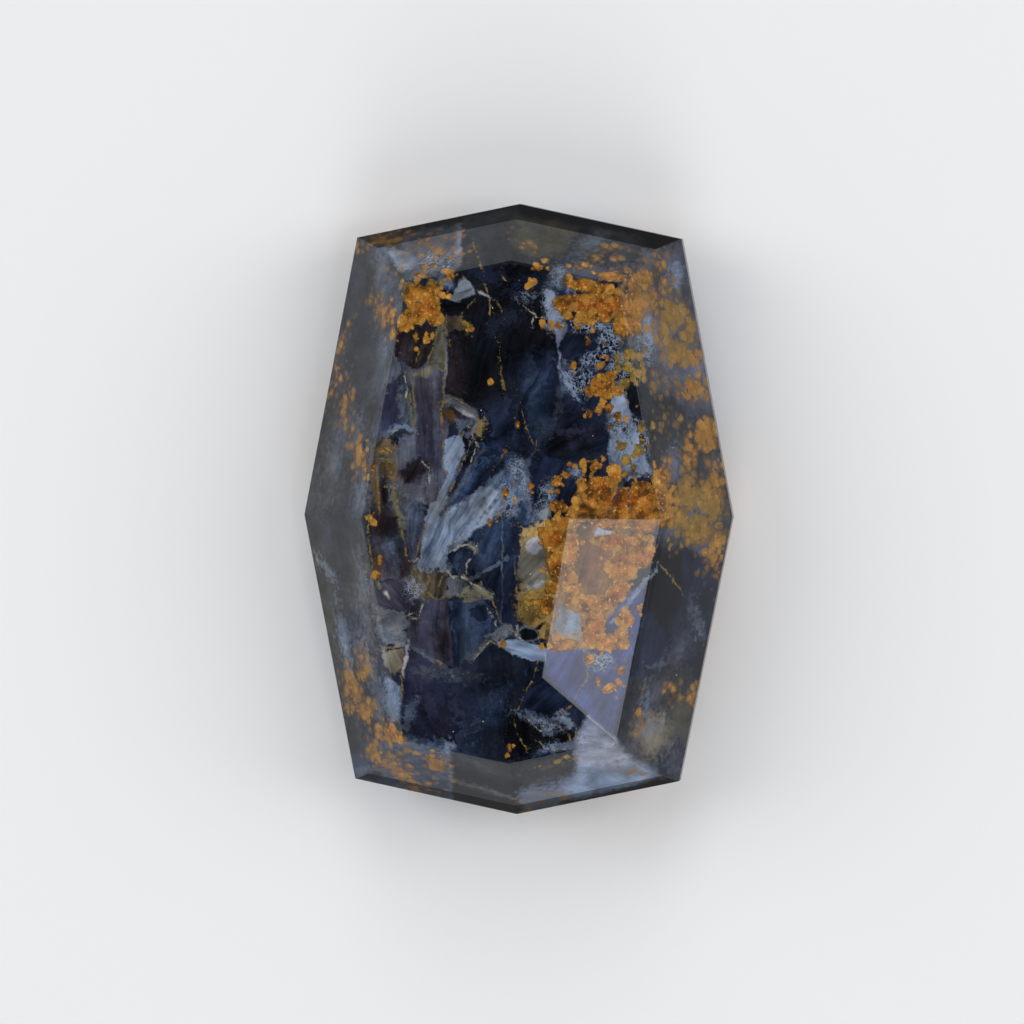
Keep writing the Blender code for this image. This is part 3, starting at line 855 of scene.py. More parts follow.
# Clean bright pieces that lie over the rest: the striped chip near the top, and thin pale slivers.
BRIGHTS = (
    Block(
        Chip(((-1.22, 4.93), (-1.02, 4.76), (-0.96, 4.56), (-1.38, 4.32), (-1.5, 4.4), (-1.32, 4.72))),
        Mineral.PEARL,
        24,
        0.02,
        0.06,
    ),
    Block(Oval(-1.12, 4.62, 0.18, 0.012, 24), Mineral.GRAPHITE, 24, 0.02, 0.02),
    Block(Oval(-0.78, 4.54, 0.12, 0.022, -25), Mineral.MILK, 0, 0.02, 0.05),
    Block(Chip(((-1.8, 4.28), (-1.5, 4.42), (-1.1, 4.32), (-1.05, 4.12), (-1.4, 4.04))), Mineral.JET, 10, 0.02, 0.08),
    Block(Chip(((-1.66, 4.0), (-1.2, 4.05), (-0.98, 3.85), (-1.1, 3.72), (-1.6, 3.78))), Mineral.BRONZE, 70, 0.04, 0.2),
    Block(Oval(-1.55, 3.1, 0.016, 0.46, 0.1), Mineral.PEARL, 90, 0.02, 0.04),
    Block(Oval(0.86, 3.25, 0.018, 0.32, 3), Mineral.PALE, 90, 0.02, 0.05),
    Block(Oval(0.95, 2.85, 0.02, 0.2, 30), Mineral.PALE, 90, 0.02, 0.06),
    Block(Oval(1.12, 2.52, 0.03, 0.22, 38), Mineral.PALE, 90, 0.02, 0.08),
)

BLOCKS = (
    *TOP_END,
    *LEFT_COLUMNS,
    *SILKY_MIDDLE,
    *LOWER_LEFT,
    *BOTTOM_END,
    *UPPER_RIGHT,
    *RIGHT_BEVEL,
    *QUARTZ_AND_SLOPE,
    *LEFT_BEVEL,
    *BRIGHTS,
)

# Orange blooms: wide masses, and the separate round grains about them.
UPPER_LEFT_BLOOMS = (
    Oval(-2.15, 4.45, 0.3, 0.28),
    Oval(-1.88, 4.6, 0.2, 0.15),
    Oval(-2.3, 4.62, 0.12, 0.1),
    Oval(-2.42, 3.95, 0.18, 0.2),
    Oval(-2.2, 4.1, 0.26, 0.22),
    Oval(-1.98, 4.3, 0.3, 0.26),
    Oval(-1.8, 4.05, 0.18, 0.18),
    Oval(-2.2, 3.62, 0.05, 0.1),
    Oval(-1.98, 3.66, 0.05, 0.06),
    Oval(-1.87, 3.63, 0.04, 0.06),
    Oval(-2.67, 3.68, 0.05, 0.1),
    Oval(-2.08, 4.96, 0.14, 0.08),
    Oval(-1.47, 4.97, 0.1, 0.15),
    Oval(-1.57, 4.5, 0.07, 0.05),
    Oval(-1.05, 3.78, 0.1, 0.06),
    Oval(-0.63, 2.7, 0.06, 0.05),
    Oval(-2.95, 5.78, 0.34, 0.1, 8),
    Oval(-1.66, 5.43, 0.2, 0.06),
    Oval(-1.85, 5.6, 0.2, 0.1, 10),
    Oval(-1.27, 5.86, 0.06, 0.06),
    Oval(-3.1, 0.85, 0.05, 0.09),
    Oval(-3.13, -0.25, 0.05, 0.09, 10),
    Oval(-2.94, -1.1, 0.06, 0.1),
    Oval(-3.04, -1.42, 0.1, 0.1),
)

UPPER_RIGHT_BLOOMS = (
    Oval(1.35, 4.75, 0.4, 0.13, -5),
    Oval(1.75, 4.65, 0.24, 0.14),
    Oval(1.0, 4.35, 0.3, 0.18),
    Oval(1.5, 4.36, 0.5, 0.24),
    Oval(1.9, 4.35, 0.3, 0.3),
    Oval(2.15, 4.3, 0.18, 0.4),
    Oval(1.02, 4.12, 0.12, 0.12),
    Oval(1.45, 4.06, 0.25, 0.14),
    Oval(1.8, 4.15, 0.2, 0.2),
    Oval(2.1, 3.9, 0.14, 0.2),
    Oval(2.24, 3.85, 0.12, 0.2),
    Oval(2.36, 4.4, 0.16, 0.55),
    Oval(2.5, 4.8, 0.24, 0.24),
    Oval(2.3, 5.1, 0.18, 0.1),
    Oval(1.35, 5.15, 0.26, 0.09),
    Oval(1.92, 5.5, 0.15, 0.05, -40),
    Oval(2.0, 4.95, 0.34, 0.14),
    Oval(2.55, 4.3, 0.13, 0.28),
    Oval(2.42, 3.88, 0.14, 0.18),
    Oval(2.86, 4.55, 0.13, 0.24),
    Oval(2.95, 4.85, 0.07, 0.15),
    Oval(3.0, 5.18, 0.08, 0.15),
    Oval(2.72, 5.3, 0.06, 0.04),
    Oval(0.25, 4.82, 0.08, 0.09),
    Oval(0.4, 5.12, 0.09, 0.06),
    Oval(0.58, 5.27, 0.05, 0.04),
    Oval(0.6, 5.13, 0.04, 0.07),
    Oval(0.25, 5.58, 0.2, 0.05, -30),
    Oval(1.25, 3.85, 0.08, 0.07),
    Oval(0.83, 3.86, 0.08, 0.05),
    Oval(0.49, 3.9, 0.05, 0.05),
    Oval(1.46, 3.57, 0.04, 0.09),
)

CHAIN_BLOOMS = (
    Oval(1.15, 3.02, 0.07, 0.12),
    Oval(1.72, 3.07, 0.11, 0.09),
    Oval(1.85, 3.23, 0.06, 0.06),
    Oval(1.72, 2.66, 0.2, 0.26),
    Oval(1.9, 2.55, 0.17, 0.24),
    Oval(1.95, 2.85, 0.11, 0.11),
    Oval(1.5, 2.5, 0.11, 0.09),
    Oval(2.14, 2.52, 0.09, 0.1),
    Oval(1.93, 2.14, 0.09, 0.12),
    Oval(1.72, 2.1, 0.07, 0.09),
    Oval(1.53, 2.03, 0.08, 0.09),
    Oval(2.12, 1.96, 0.08, 0.11),
    Oval(1.98, 1.74, 0.04, 0.04),
    Oval(-0.02, 1.8, 0.06, 0.08),
    Oval(1.07, 0.97, 0.06, 0.07),
    Oval(1.38, 0.95, 0.08, 0.1),
    Oval(1.63, 0.92, 0.12, 0.13),
    Oval(1.83, 1.07, 0.06, 0.08),
    Oval(1.0, 0.73, 0.1, 0.1),
    Oval(0.82, 0.6, 0.12, 0.11),
    Oval(0.82, 0.38, 0.08, 0.09),
    Oval(0.27, 0.5, 0.08, 0.07),
    Oval(0.86, 0.05, 0.2, 0.15),
    Oval(-0.61, -0.34, 0.05, 0.06),
    Oval(-0.32, -2.82, 0.06, 0.07),
    Oval(-0.28, 1.24, 0.05, 0.04),
    Oval(-0.25, 0.35, 0.05, 0.14, 10),
)

MIDDLE_BLOOMS = (
    Oval(2.06, 0.75, 0.16, 0.24),
    Oval(1.8, 0.5, 0.36, 0.22),
    Oval(1.34, 0.52, 0.12, 0.18),
    Oval(1.5, 0.22, 0.34, 0.32),
    Oval(1.3, -0.05, 0.28, 0.2),
    Oval(0.95, -0.32, 0.34, 0.16),
    Oval(0.76, -0.62, 0.24, 0.34),
    Oval(0.8, -1.15, 0.17, 0.36, -4),
    Oval(0.75, -1.66, 0.18, 0.14),
    Oval(0.55, -0.5, 0.14, 0.14),
    Oval(0.62, -2.05, 0.14, 0.22),
    Oval(0.4, -1.95, 0.14, 0.08),
    Oval(2.1, 0.15, 0.5, 0.38),
    Oval(2.64, 0.28, 0.32, 0.36),
    Oval(2.62, -0.15, 0.4, 0.34),
    Oval(2.0, -0.2, 0.5, 0.24),
    Oval(2.98, 0.4, 0.14, 0.5, 6),
    Oval(3.04, -0.1, 0.12, 0.34),
    Oval(2.2, -0.72, 0.62, 0.2),
    Oval(2.6, -0.85, 0.34, 0.4),
    Oval(1.12, -0.85, 0.16, 0.5, -4),
    Oval(2.2, -1.2, 0.4, 0.34, 20),
    Oval(1.1, -1.6, 0.18, 0.4, 4),
    Oval(1.5, -2.0, 0.5, 0.2),
    Oval(2.1, -1.75, 0.34, 0.2, 40),
    Oval(1.62, -2.45, 0.26, 0.5),
    Oval(1.85, -2.8, 0.3, 0.2),
    Oval(1.0, -2.88, 0.32, 0.12, 8),
    Oval(2.26, -2.3, 0.2, 0.2),
    Oval(2.2, -2.72, 0.14, 0.28),
    Oval(2.58, -2.05, 0.07, 0.08),
    Oval(1.5, -3.18, 0.09, 0.1),
    Oval(2.2, -3.4, 0.08, 0.1),
    Oval(2.14, -3.65, 0.08, 0.1),
    Oval(1.98, -3.78, 0.17, 0.12, 10),
    Oval(1.72, -3.65, 0.04, 0.09),
    Oval(-0.16, -5.08, 0.06, 0.09),
)

BEVEL_BLOOMS = (
    Oval(2.62, 4.9, 0.34, 0.28, -20),
    Oval(2.5, 4.25, 0.28, 0.6),
    Oval(2.86, 4.45, 0.2, 0.45),
    Oval(3.0, 5.12, 0.12, 0.26),
    Oval(4.02, 2.55, 0.14, 0.32),
    Oval(3.72, 2.55, 0.28, 0.34, -10),
    Oval(4.02, 1.62, 0.34, 0.42),
    Oval(3.62, 1.2, 0.2, 0.36),
    Oval(3.12, 0.7, 0.18, 0.36, -6),
    Oval(3.2, 0.15, 0.22, 0.44),
    Oval(4.22, 0.7, 0.22, 0.5),
    Oval(4.2, -0.8, 0.24, 0.5, -20),
    Oval(4.36, -1.5, 0.1, 0.26),
    Oval(3.86, 3.3, 0.14, 0.4),
    Oval(2.62, -4.36, 0.07, 0.24),
    Oval(3.34, -3.84, 0.12, 0.16, -20),
    Oval(3.78, -3.92, 0.14, 0.22, -20),
    Oval(-2.75, -4.8, 0.36, 0.24, -20),
    Oval(-3.02, -5.15, 0.2, 0.3),
    Oval(-2.8, -5.4, 0.26, 0.2),
    Oval(-2.5, -5.6, 0.34, 0.2, -35),
    Oval(-2.15, -5.92, 0.32, 0.14, -20),
    Oval(-1.75, -5.4, 0.26, 0.22),
    Oval(-3.5, -3.9, 0.24, 0.5, 8),
    Oval(-3.3, -3.5, 0.18, 0.36),
    Oval(-3.2, -4.3, 0.22, 0.34, 14),
    Oval(-3.9, 2.9, 0.09, 0.6, -10),
    Oval(-3.7, 2.2, 0.1, 0.34, -10),
    Oval(-3.38, 1.1, 0.15, 0.45, 14),
    Oval(-2.9, 4.2, 0.24, 0.36, 15),
    Oval(-2.8, 5.7, 0.55, 0.1, 10),
    Oval(-1.85, 5.6, 0.34, 0.12, 5),
    Oval(-1.65, 5.42, 0.26, 0.08),
    Oval(-2.0, 5.15, 0.28, 0.05, 10),
)

BLOOMS = (
    *UPPER_LEFT_BLOOMS,
    *UPPER_RIGHT_BLOOMS,
    *CHAIN_BLOOMS,
    *MIDDLE_BLOOMS,
    *BEVEL_BLOOMS,
)

# Duller blooms, between olive and gold.
OLIVES = (
    Oval(-2.35, 4.7, 0.14, 0.09),
    Oval(-1.86, 4.78, 0.13, 0.07),
    Oval(-1.1, 3.9, 0.16, 0.06, -30),
    Oval(1.1, 4.82, 0.2, 0.06, -4),
    Oval(1.64, 5.3, 0.1, 0.13),
    Oval(2.1, 5.6, 0.12, 0.04, 10),
    Oval(2.2, 4.72, 0.08, 0.1),
    Oval(2.14, 3.55, 0.07, 0.05),
    Oval(1.78, 3.55, 0.05, 0.06),
    Oval(2.35, 3.32, 0.12, 0.13),
    Oval(2.08, 3.25, 0.06, 0.08),
    Oval(2.1, 3.04, 0.09, 0.09),
    Oval(2.3, 3.02, 0.1, 0.13),
    Oval(2.24, 2.68, 0.1, 0.12),
    Oval(2.42, 2.85, 0.09, 0.15),
    Oval(2.58, 3.0, 0.08, 0.28),
    Oval(3.3, 4.2, 0.36, 0.36),
    Oval(3.6, 3.8, 0.26, 0.46),
    Oval(3.4, 3.35, 0.36, 0.34),
    Oval(3.1, 3.75, 0.2, 0.4),
    Oval(3.25, 4.68, 0.12, 0.2),
    Oval(2.95, 2.68, 0.12, 0.22),
    Oval(3.15, 2.5, 0.15, 0.08),
    Oval(3.34, 2.76, 0.09, 0.16, -20),
    Oval(2.2, 1.33, 0.09, 0.11),
    Oval(2.56, 1.3, 0.1, 0.11),
    Oval(2.64, 1.5, 0.07, 0.09),
    Oval(2.6, 1.76, 0.08, 0.1),
    Oval(2.77, 1.36, 0.06, 0.09),
    Oval(2.3, 1.05, 0.14, 0.1, -20),
    Oval(2.46, 0.9, 0.05, 0.1),
    Oval(2.27, 0.8, 0.04, 0.05),
    Oval(2.88, 1.8, 0.07, 0.12),
    Oval(3.2, 1.85, 0.05, 0.1),
    Oval(3.38, 1.92, 0.05, 0.08),
    Oval(3.62, 0.35, 0.36, 0.5),
    Oval(4.1, 0.2, 0.36, 0.5, 10),
    Oval(3.85, -0.4, 0.44, 0.4),
    Oval(3.4, -0.2, 0.3, 0.34),
    Oval(3.22, -0.4, 0.06, 0.1),
    Oval(3.4, -0.75, 0.05, 0.06),
    Oval(3.55, -0.55, 0.05, 0.07),
    Oval(0.22, -2.0, 0.12, 0.16),
    Oval(0.5, -2.2, 0.13, 0.12),
    Oval(0.66, -2.7, 0.08, 0.14),
    Oval(0.3, -1.8, 0.1, 0.06),
    Oval(-2.35, -5.2, 0.2, 0.12),
    Oval(-1.72, -5.28, 0.16, 0.07, -20),
    Oval(-1.6, -5.58, 0.13, 0.06, -20),
    Oval(-1.85, -5.42, 0.05, 0.14, 20),
    Oval(0.85, -5.35, 0.26, 0.07, 12),
    Oval(0.6, -6.2, 0.34, 0.07, 12),
    Oval(0.3, -6.35, 0.16, 0.05, 10),
    Oval(2.55, -5.55, 0.26, 0.05, -24),
)

# Lacy places, where fine pale curls cross darker stone.
FROTHS = (
    Oval(0.66, 4.35, 0.14, 0.3, 8),
    Oval(0.8, 3.95, 0.24, 0.2, 22),
    Oval(1.1, 2.75, 0.16, 0.34, 20),
    Oval(1.4, 2.7, 0.2, 0.3),
    Oval(1.6, 3.2, 0.28, 0.16, 20),
    Oval(1.45, 3.9, 0.5, 0.14),
    Oval(1.9, 3.55, 0.26, 0.3),
    Oval(0.85, 4.9, 0.14, 0.2),
    Oval(1.2, 4.62, 0.14, 0.06, -20),
    Oval(0.15, 4.5, 0.14, 0.07),
    Oval(2.15, 3.0, 0.24, 0.34),
    Oval(2.35, 1.5, 0.4, 0.6, 20),
    Oval(1.25, 0.8, 0.14, 0.14),
    Oval(0.6, 0.3, 0.14, 0.3),
    Oval(0.5, -0.1, 0.12, 0.16),
    Oval(-0.02, 0.85, 0.16, 0.26, 12),
    Oval(-0.2, 0.2, 0.14, 0.4, 12),
    Oval(0.1, 0.45, 0.14, 0.3),
    Oval(-0.35, 0.02, 0.2, 0.12, 30),
    Oval(-1.75, 5.25, 0.4, 0.2),
    Oval(1.7, -3.2, 0.28, 0.2),
    Oval(1.15, -2.5, 0.16, 0.3),
    Oval(0.6, -4.55, 0.26, 0.1, -20),
    Oval(0.8, -5.0, 0.26, 0.07, 14),
    Oval(-2.2, -1.7, 0.2, 0.24),
    Oval(2.7, 3.5, 0.2, 0.4),
)

GOLD_THREADS = (
    Thread(((-0.92, 4.64), (-0.66, 4.5), (-0.6, 4.36), (-0.62, 4.08)), 0.022),
    Thread(((-0.74, 4.74), (-0.63, 4.45)), 0.02),
    Thread(((-1.16, 4.18), (-0.95, 4.45)), 0.016),
    Thread(((-0.44, 4.36), (-0.34, 4.14)), 0.022),
    Thread(((-0.4, 3.2), (-0.36, 2.7), (-0.3, 2.55)), 0.02),
    Thread(((-1.56, 2.85), (-1.57, 2.4), (-1.66, 2.05), (-1.64, 1.7)), 0.03),
    Thread(((-1.64, 1.7), (-1.58, 1.45), (-1.6, 1.1), (-1.52, 0.62)), 0.018),
    Thread(((-1.6, 2.28), (-1.35, 2.36), (-1.08, 2.2), (-0.84, 1.92)), 0.016),
    Thread(((-0.86, 1.92), (-0.8, 1.84)), 0.04),
    Thread(((-1.0, 1.45), (-1.1, 1.15), (-1.36, 0.6), (-1.55, 0.1)), 0.022),
    Thread(((-1.25, 1.5), (-1.05, 1.75)), 0.016),
    Thread(((0.05, 2.2), (0.15, 1.85), (0.33, 1.4)), 0.012),
    Thread(((0.45, 1.55), (0.35, 1.2), (0.1, 1.0)), 0.014),
    Thread(((-0.42, 0.98), (-0.26, 1.25)), 0.014),
    Thread(((-0.3, 0.35), (-0.3, 0.0), (-0.45, -0.2), (-0.6, -0.34)), 0.026),
    Thread(((-0.1, 0.7), (-0.05, 0.3), (-0.15, -0.1)), 0.02),
    Thread(((-2.2, -1.3), (-2.05, -1.5), (-1.9, -1.75), (-1.75, -1.88), (-1.45, -1.86)), 0.024),
    Thread(((-2.28, -1.6), (-2.1, -1.75), (-1.98, -1.92)), 0.018),
    Thread(((-1.95, -1.28), (-1.85, -1.5), (-1.9, -1.65)), 0.018),
    Thread(((-1.62, -1.45), (-1.66, -1.7)), 0.016),
    Thread(((-1.2, -1.38), (-1.0, -1.55), (-0.75, -1.72), (-0.58, -1.88)), 0.022),
    Thread(((-0.56, -1.88), (-0.42, -2.15), (-0.36, -2.35), (-0.2, -2.5), (0.0, -2.66)), 0.024),
    Thread(((-0.66, -2.78), (-0.38, -2.86)), 0.02),
    Thread(((-1.72, -3.2), (-1.6, -3.3)), 0.03),
    Thread(((0.42, -3.25), (0.34, -3.55), (0.14, -3.9), (-0.02, -4.3)), 0.014),
    Thread(((0.72, -4.5), (0.82, -4.38), (1.02, -4.26), (1.2, -4.13)), 0.014),
    Thread(((1.2, -4.08), (1.35, -3.8), (1.5, -3.6), (1.42, -3.15)), 0.022),
    Thread(((1.26, -4.6), (1.26, -4.9)), 0.02),
    Thread(((0.9, -4.62), (1.1, -4.75), (1.15, -4.95)), 0.016),
    Thread(((-0.1, -4.4), (0.02, -4.7), (0.2, -5.1)), 0.014),
    Thread(((3.0, -1.1), (3.25, -1.4), (3.5, -1.75)), 0.016),
    Thread(((-2.46, -3.55), (-2.46, -4.1)), 0.024),
    Thread(((-1.0, 5.7), (-0.9, 5.4), (-0.78, 5.05)), 0.02),
    Thread(((-3.16, 0.1), (-3.2, -0.6), (-3.1, -1.2)), 0.024),
    Thread(((-2.96, -0.1), (-2.95, 0.4), (-3.05, 0.9)), 0.03),
    Thread(((-2.62, 0.6), (-2.6, 0.1), (-2.5, -0.4), (-2.36, -1.0), (-2.28, -1.2)), 0.024),
    Thread(((-1.9, -0.1), (-2.0, -0.7), (-2.1, -1.2)), 0.018),
    Thread(((-2.05, -0.65), (-2.2, -1.0)), 0.018),
    Thread(((-2.24, 2.6), (-2.2, 2.1), (-2.22, 1.7)), 0.016),
    Thread(((-2.1, 3.4), (-2.2, 3.1)), 0.02),
    Thread(((-1.72, 3.85), (-1.85, 3.4), (-1.95, 3.1)), 0.018),
    Thread(((-1.62, 3.95), (-1.5, 3.6), (-1.5, 3.45)), 0.016),
    Thread(((-0.5, 3.65), (-0.4, 3.45), (-0.42, 3.2)), 0.014),
    Thread(((-0.1, -0.95), (-0.05, -1.5), (0.02, -2.0), (0.05, -2.3)), 0.018),
    Thread(((0.05, -0.45), (0.15, -0.75), (0.12, -0.95)), 0.026),
    Thread(((-0.35, 5.0), (-0.28, 4.85)), 0.02),
)

CREAM_THREADS = (
    Thread(((-1.46, -0.95), (-1.24, -0.76), (-1.02, -0.76), (-0.9, -0.9), (-0.98, -1.05)), 0.018),
    Thread(((-1.0, -1.05), (-1.1, -1.15), (-1.12, -1.38)), 0.014),
    Thread(((-1.46, -0.75), (-1.2, -0.55)), 0.014),
    Thread(((-1.5, -1.3), (-1.38, -1.44), (-1.24, -1.38), (-1.1, -1.5)), 0.018),
    Thread(((-1.1, -1.5), (-0.85, -1.66), (-0.62, -1.78)), 0.022),
    Thread(((-2.28, -2.32), (-2.14, -2.36), (-2.02, -2.1)), 0.016),
    Thread(((-2.35, -2.28), (-2.2, -2.22), (-2.12, -2.3)), 0.014),
    Thread(((-2.04, 1.0), (-1.9, 0.85), (-1.92, 0.6)), 0.018),
    Thread(((-2.7, 1.55), (-2.62, 1.64), (-2.35, 1.68), (-2.2, 1.6)), 0.014),
    Thread(((0.22, 4.2), (0.4, 4.08), (0.6, 4.02)), 0.014),
    Thread(((0.3, 3.9), (0.3, 4.08)), 0.012),
    Thread(((-2.44, 2.9), (-2.4, 2.6), (-2.36, 2.3)), 0.016),
    Thread(((-2.3, -1.15), (-2.1, -1.02)), 0.016),
    Thread(((-0.6, -2.15), (-0.45, -2.3), (-0.4, -2.5)), 0.02),
    Thread(((-0.55, -2.8), (-0.72, -2.95), (-0.95, -3.2)), 0.016),
    Thread(((0.0, -2.5), (-0.02, -2.68), (0.1, -2.8), (0.35, -2.84)), 0.018),
    Thread(((-1.0, 1.62), (-0.85, 1.35), (-1.0, 1.0)), 0.012),
    Thread(((-0.62, 0.05), (-0.72, -0.18)), 0.014),
    Thread(((0.2, -4.45), (0.4, -4.6), (0.6, -4.75)), 0.014),
    Thread(((0.5, -4.95), (0.75, -5.1), (1.0, -5.08)), 0.014),
)

# Brown hollows and dark cracks in the blooms.
HOLLOWS = (
    Oval(1.48, 0.02, 0.2, 0.1, -35),
    Oval(1.35, -0.12, 0.16, 0.1, -10),
    Oval(1.34, 0.22, 0.04, 0.16, 34),
    Oval(1.6, -0.16, 0.18, 0.1, -10),
    Oval(1.66, 0.2, 0.03, 0.1, 20),
    Oval(-2.36, 4.62, 0.05, 0.06),
    Oval(-1.95, 3.8, 0.1, 0.05),
    Oval(1.3, 4.6, 0.05, 0.07, 30),
    Oval(0.98, 4.9, 0.04, 0.05),
    Oval(2.86, 0.26, 0.014, 0.15, -12),
    Oval(2.6, 0.77, 0.16, 0.018, 8),
    Oval(2.25, 0.66, 0.18, 0.02, 50),
    Oval(2.4, 0.05, 0.03, 0.1, -30),
    Oval(0.73, -1.9, 0.03, 0.03),
    Oval(0.72, -2.05, 0.014, 0.1),
    Oval(-1.93, 3.7, 0.02, 0.05),
    Oval(-2.98, -2.26, 0.07, 0.04, -30),
)

# Cracks in the blooms that are healed with slate-blue stone.
SLATE_THREADS = (
    Thread(((1.86, -0.12), (2.0, 0.05), (2.1, 0.35)), 0.03),
    Thread(((2.1, 0.35), (2.2, 0.58), (2.44, 0.8)), 0.04),
    Thread(((2.44, 0.8), (2.66, 0.76), (2.84, 0.7)), 0.03),
    Thread(((2.34, 0.5), (2.38, 0.2), (2.34, -0.1)), 0.022),
)


@dataclass(frozen=True)
class Tile:
    """A rectangle of the plan, in millimetres.

    margin is how far beyond it a patch still counts as near, and inner says that it lies well inside
    the outline, where nothing of the depth's pattern shows.
    """

    west: float
    east: float
    south: float
    north: float
    margin: float = 0.4
    inner: bool = False

    def near(self, patches: Iterable[Any]) -> list[Any]:
        """The ovals or blocks that come close enough to show in the tile."""
        kept = []
        for patch in patches:
            west, east, south, north = patch.box()
            beside = west < self.east + self.margin and east > self.west - self.margin
            level = south < self.north + self.margin and north > self.south - self.margin
            if beside and level:
                kept.append(patch)
        return kept


@dataclass(frozen=True)
class BloomFinish:
    """The display colours of one kind of bloom."""

    rich: Triple
    ripe: Triple
    rind: Triple
    dark: Triple
    light: Triple


@dataclass(frozen=True)
class StoneFinish:
    """How the stone is polished, and the colours that its minerals don't give."""

    ior: float = 1.54
    gloss: float = 0.25
    # shade multiplies the whole colour; below 1 it is painted shade, which darkens the steep end bands in place of the
    # dark reflection that they show.
    shade: float = 1.0
    crown_rough: float = 0.045
    bloom_rough: float = 0.12
    girdle_rough: float = 0.24
    back_rough: float = 0.34
    orange: BloomFinish = BloomFinish(
        rich=(162, 106, 40), ripe=(150, 80, 28), rind=(140, 104, 42), dark=(78, 48, 22), light=(214, 160, 78)
    )
    olive: BloomFinish = BloomFinish(
        rich=(128, 104, 48), ripe=(142, 106, 44), rind=(112, 92, 44), dark=(74, 60, 34), light=(176, 146, 82)
    )
    froth: Triple = (126, 140, 162)
    gold: Triple = (116, 98, 60)
    cream: Triple = (142, 142, 130)
    slate: Triple = (54, 62, 74)
    hollow: Triple = (40, 26, 14)
    deep_bloom: Triple = (126, 94, 44)
    # The tone of tiny painted glints, where small pits in the polish catch the light.
    painted_glint: Triple = (190, 196, 206)
    warm_cast: Triple = (1.08, 0.99, 0.92)
    cool_cast: Triple = (0.93, 0.99, 1.08)


@dataclass
class Fields:
    """The positions and noises that every layer of the pattern shares."""

    place: Signal
    plan: Signal
    ragged_plan: Signal
    height: Signal
    fine: Signal
    crown: Signal
    blur: Signal


@dataclass
class Paint:
    """The pattern so far: the colour in the depth, the colour of the pale fibres, partly their own and partly painted
    silky sheen, and the fibres' way.
    """

    deep: Signal
    pale_and_sheen: Signal
    grain: Signal


@dataclass
class Grains:
    """The noises in blooms.

    from_grain is the distance to the nearest grain's middle, in millimetres, and pick is a number from
    0 to 1 that each grain draws. gaps, shade and sugar are cloudy noises.
    """

    from_grain: Signal
    pick: Signal
    gaps: Signal
    shade: Signal
    sugar: Signal


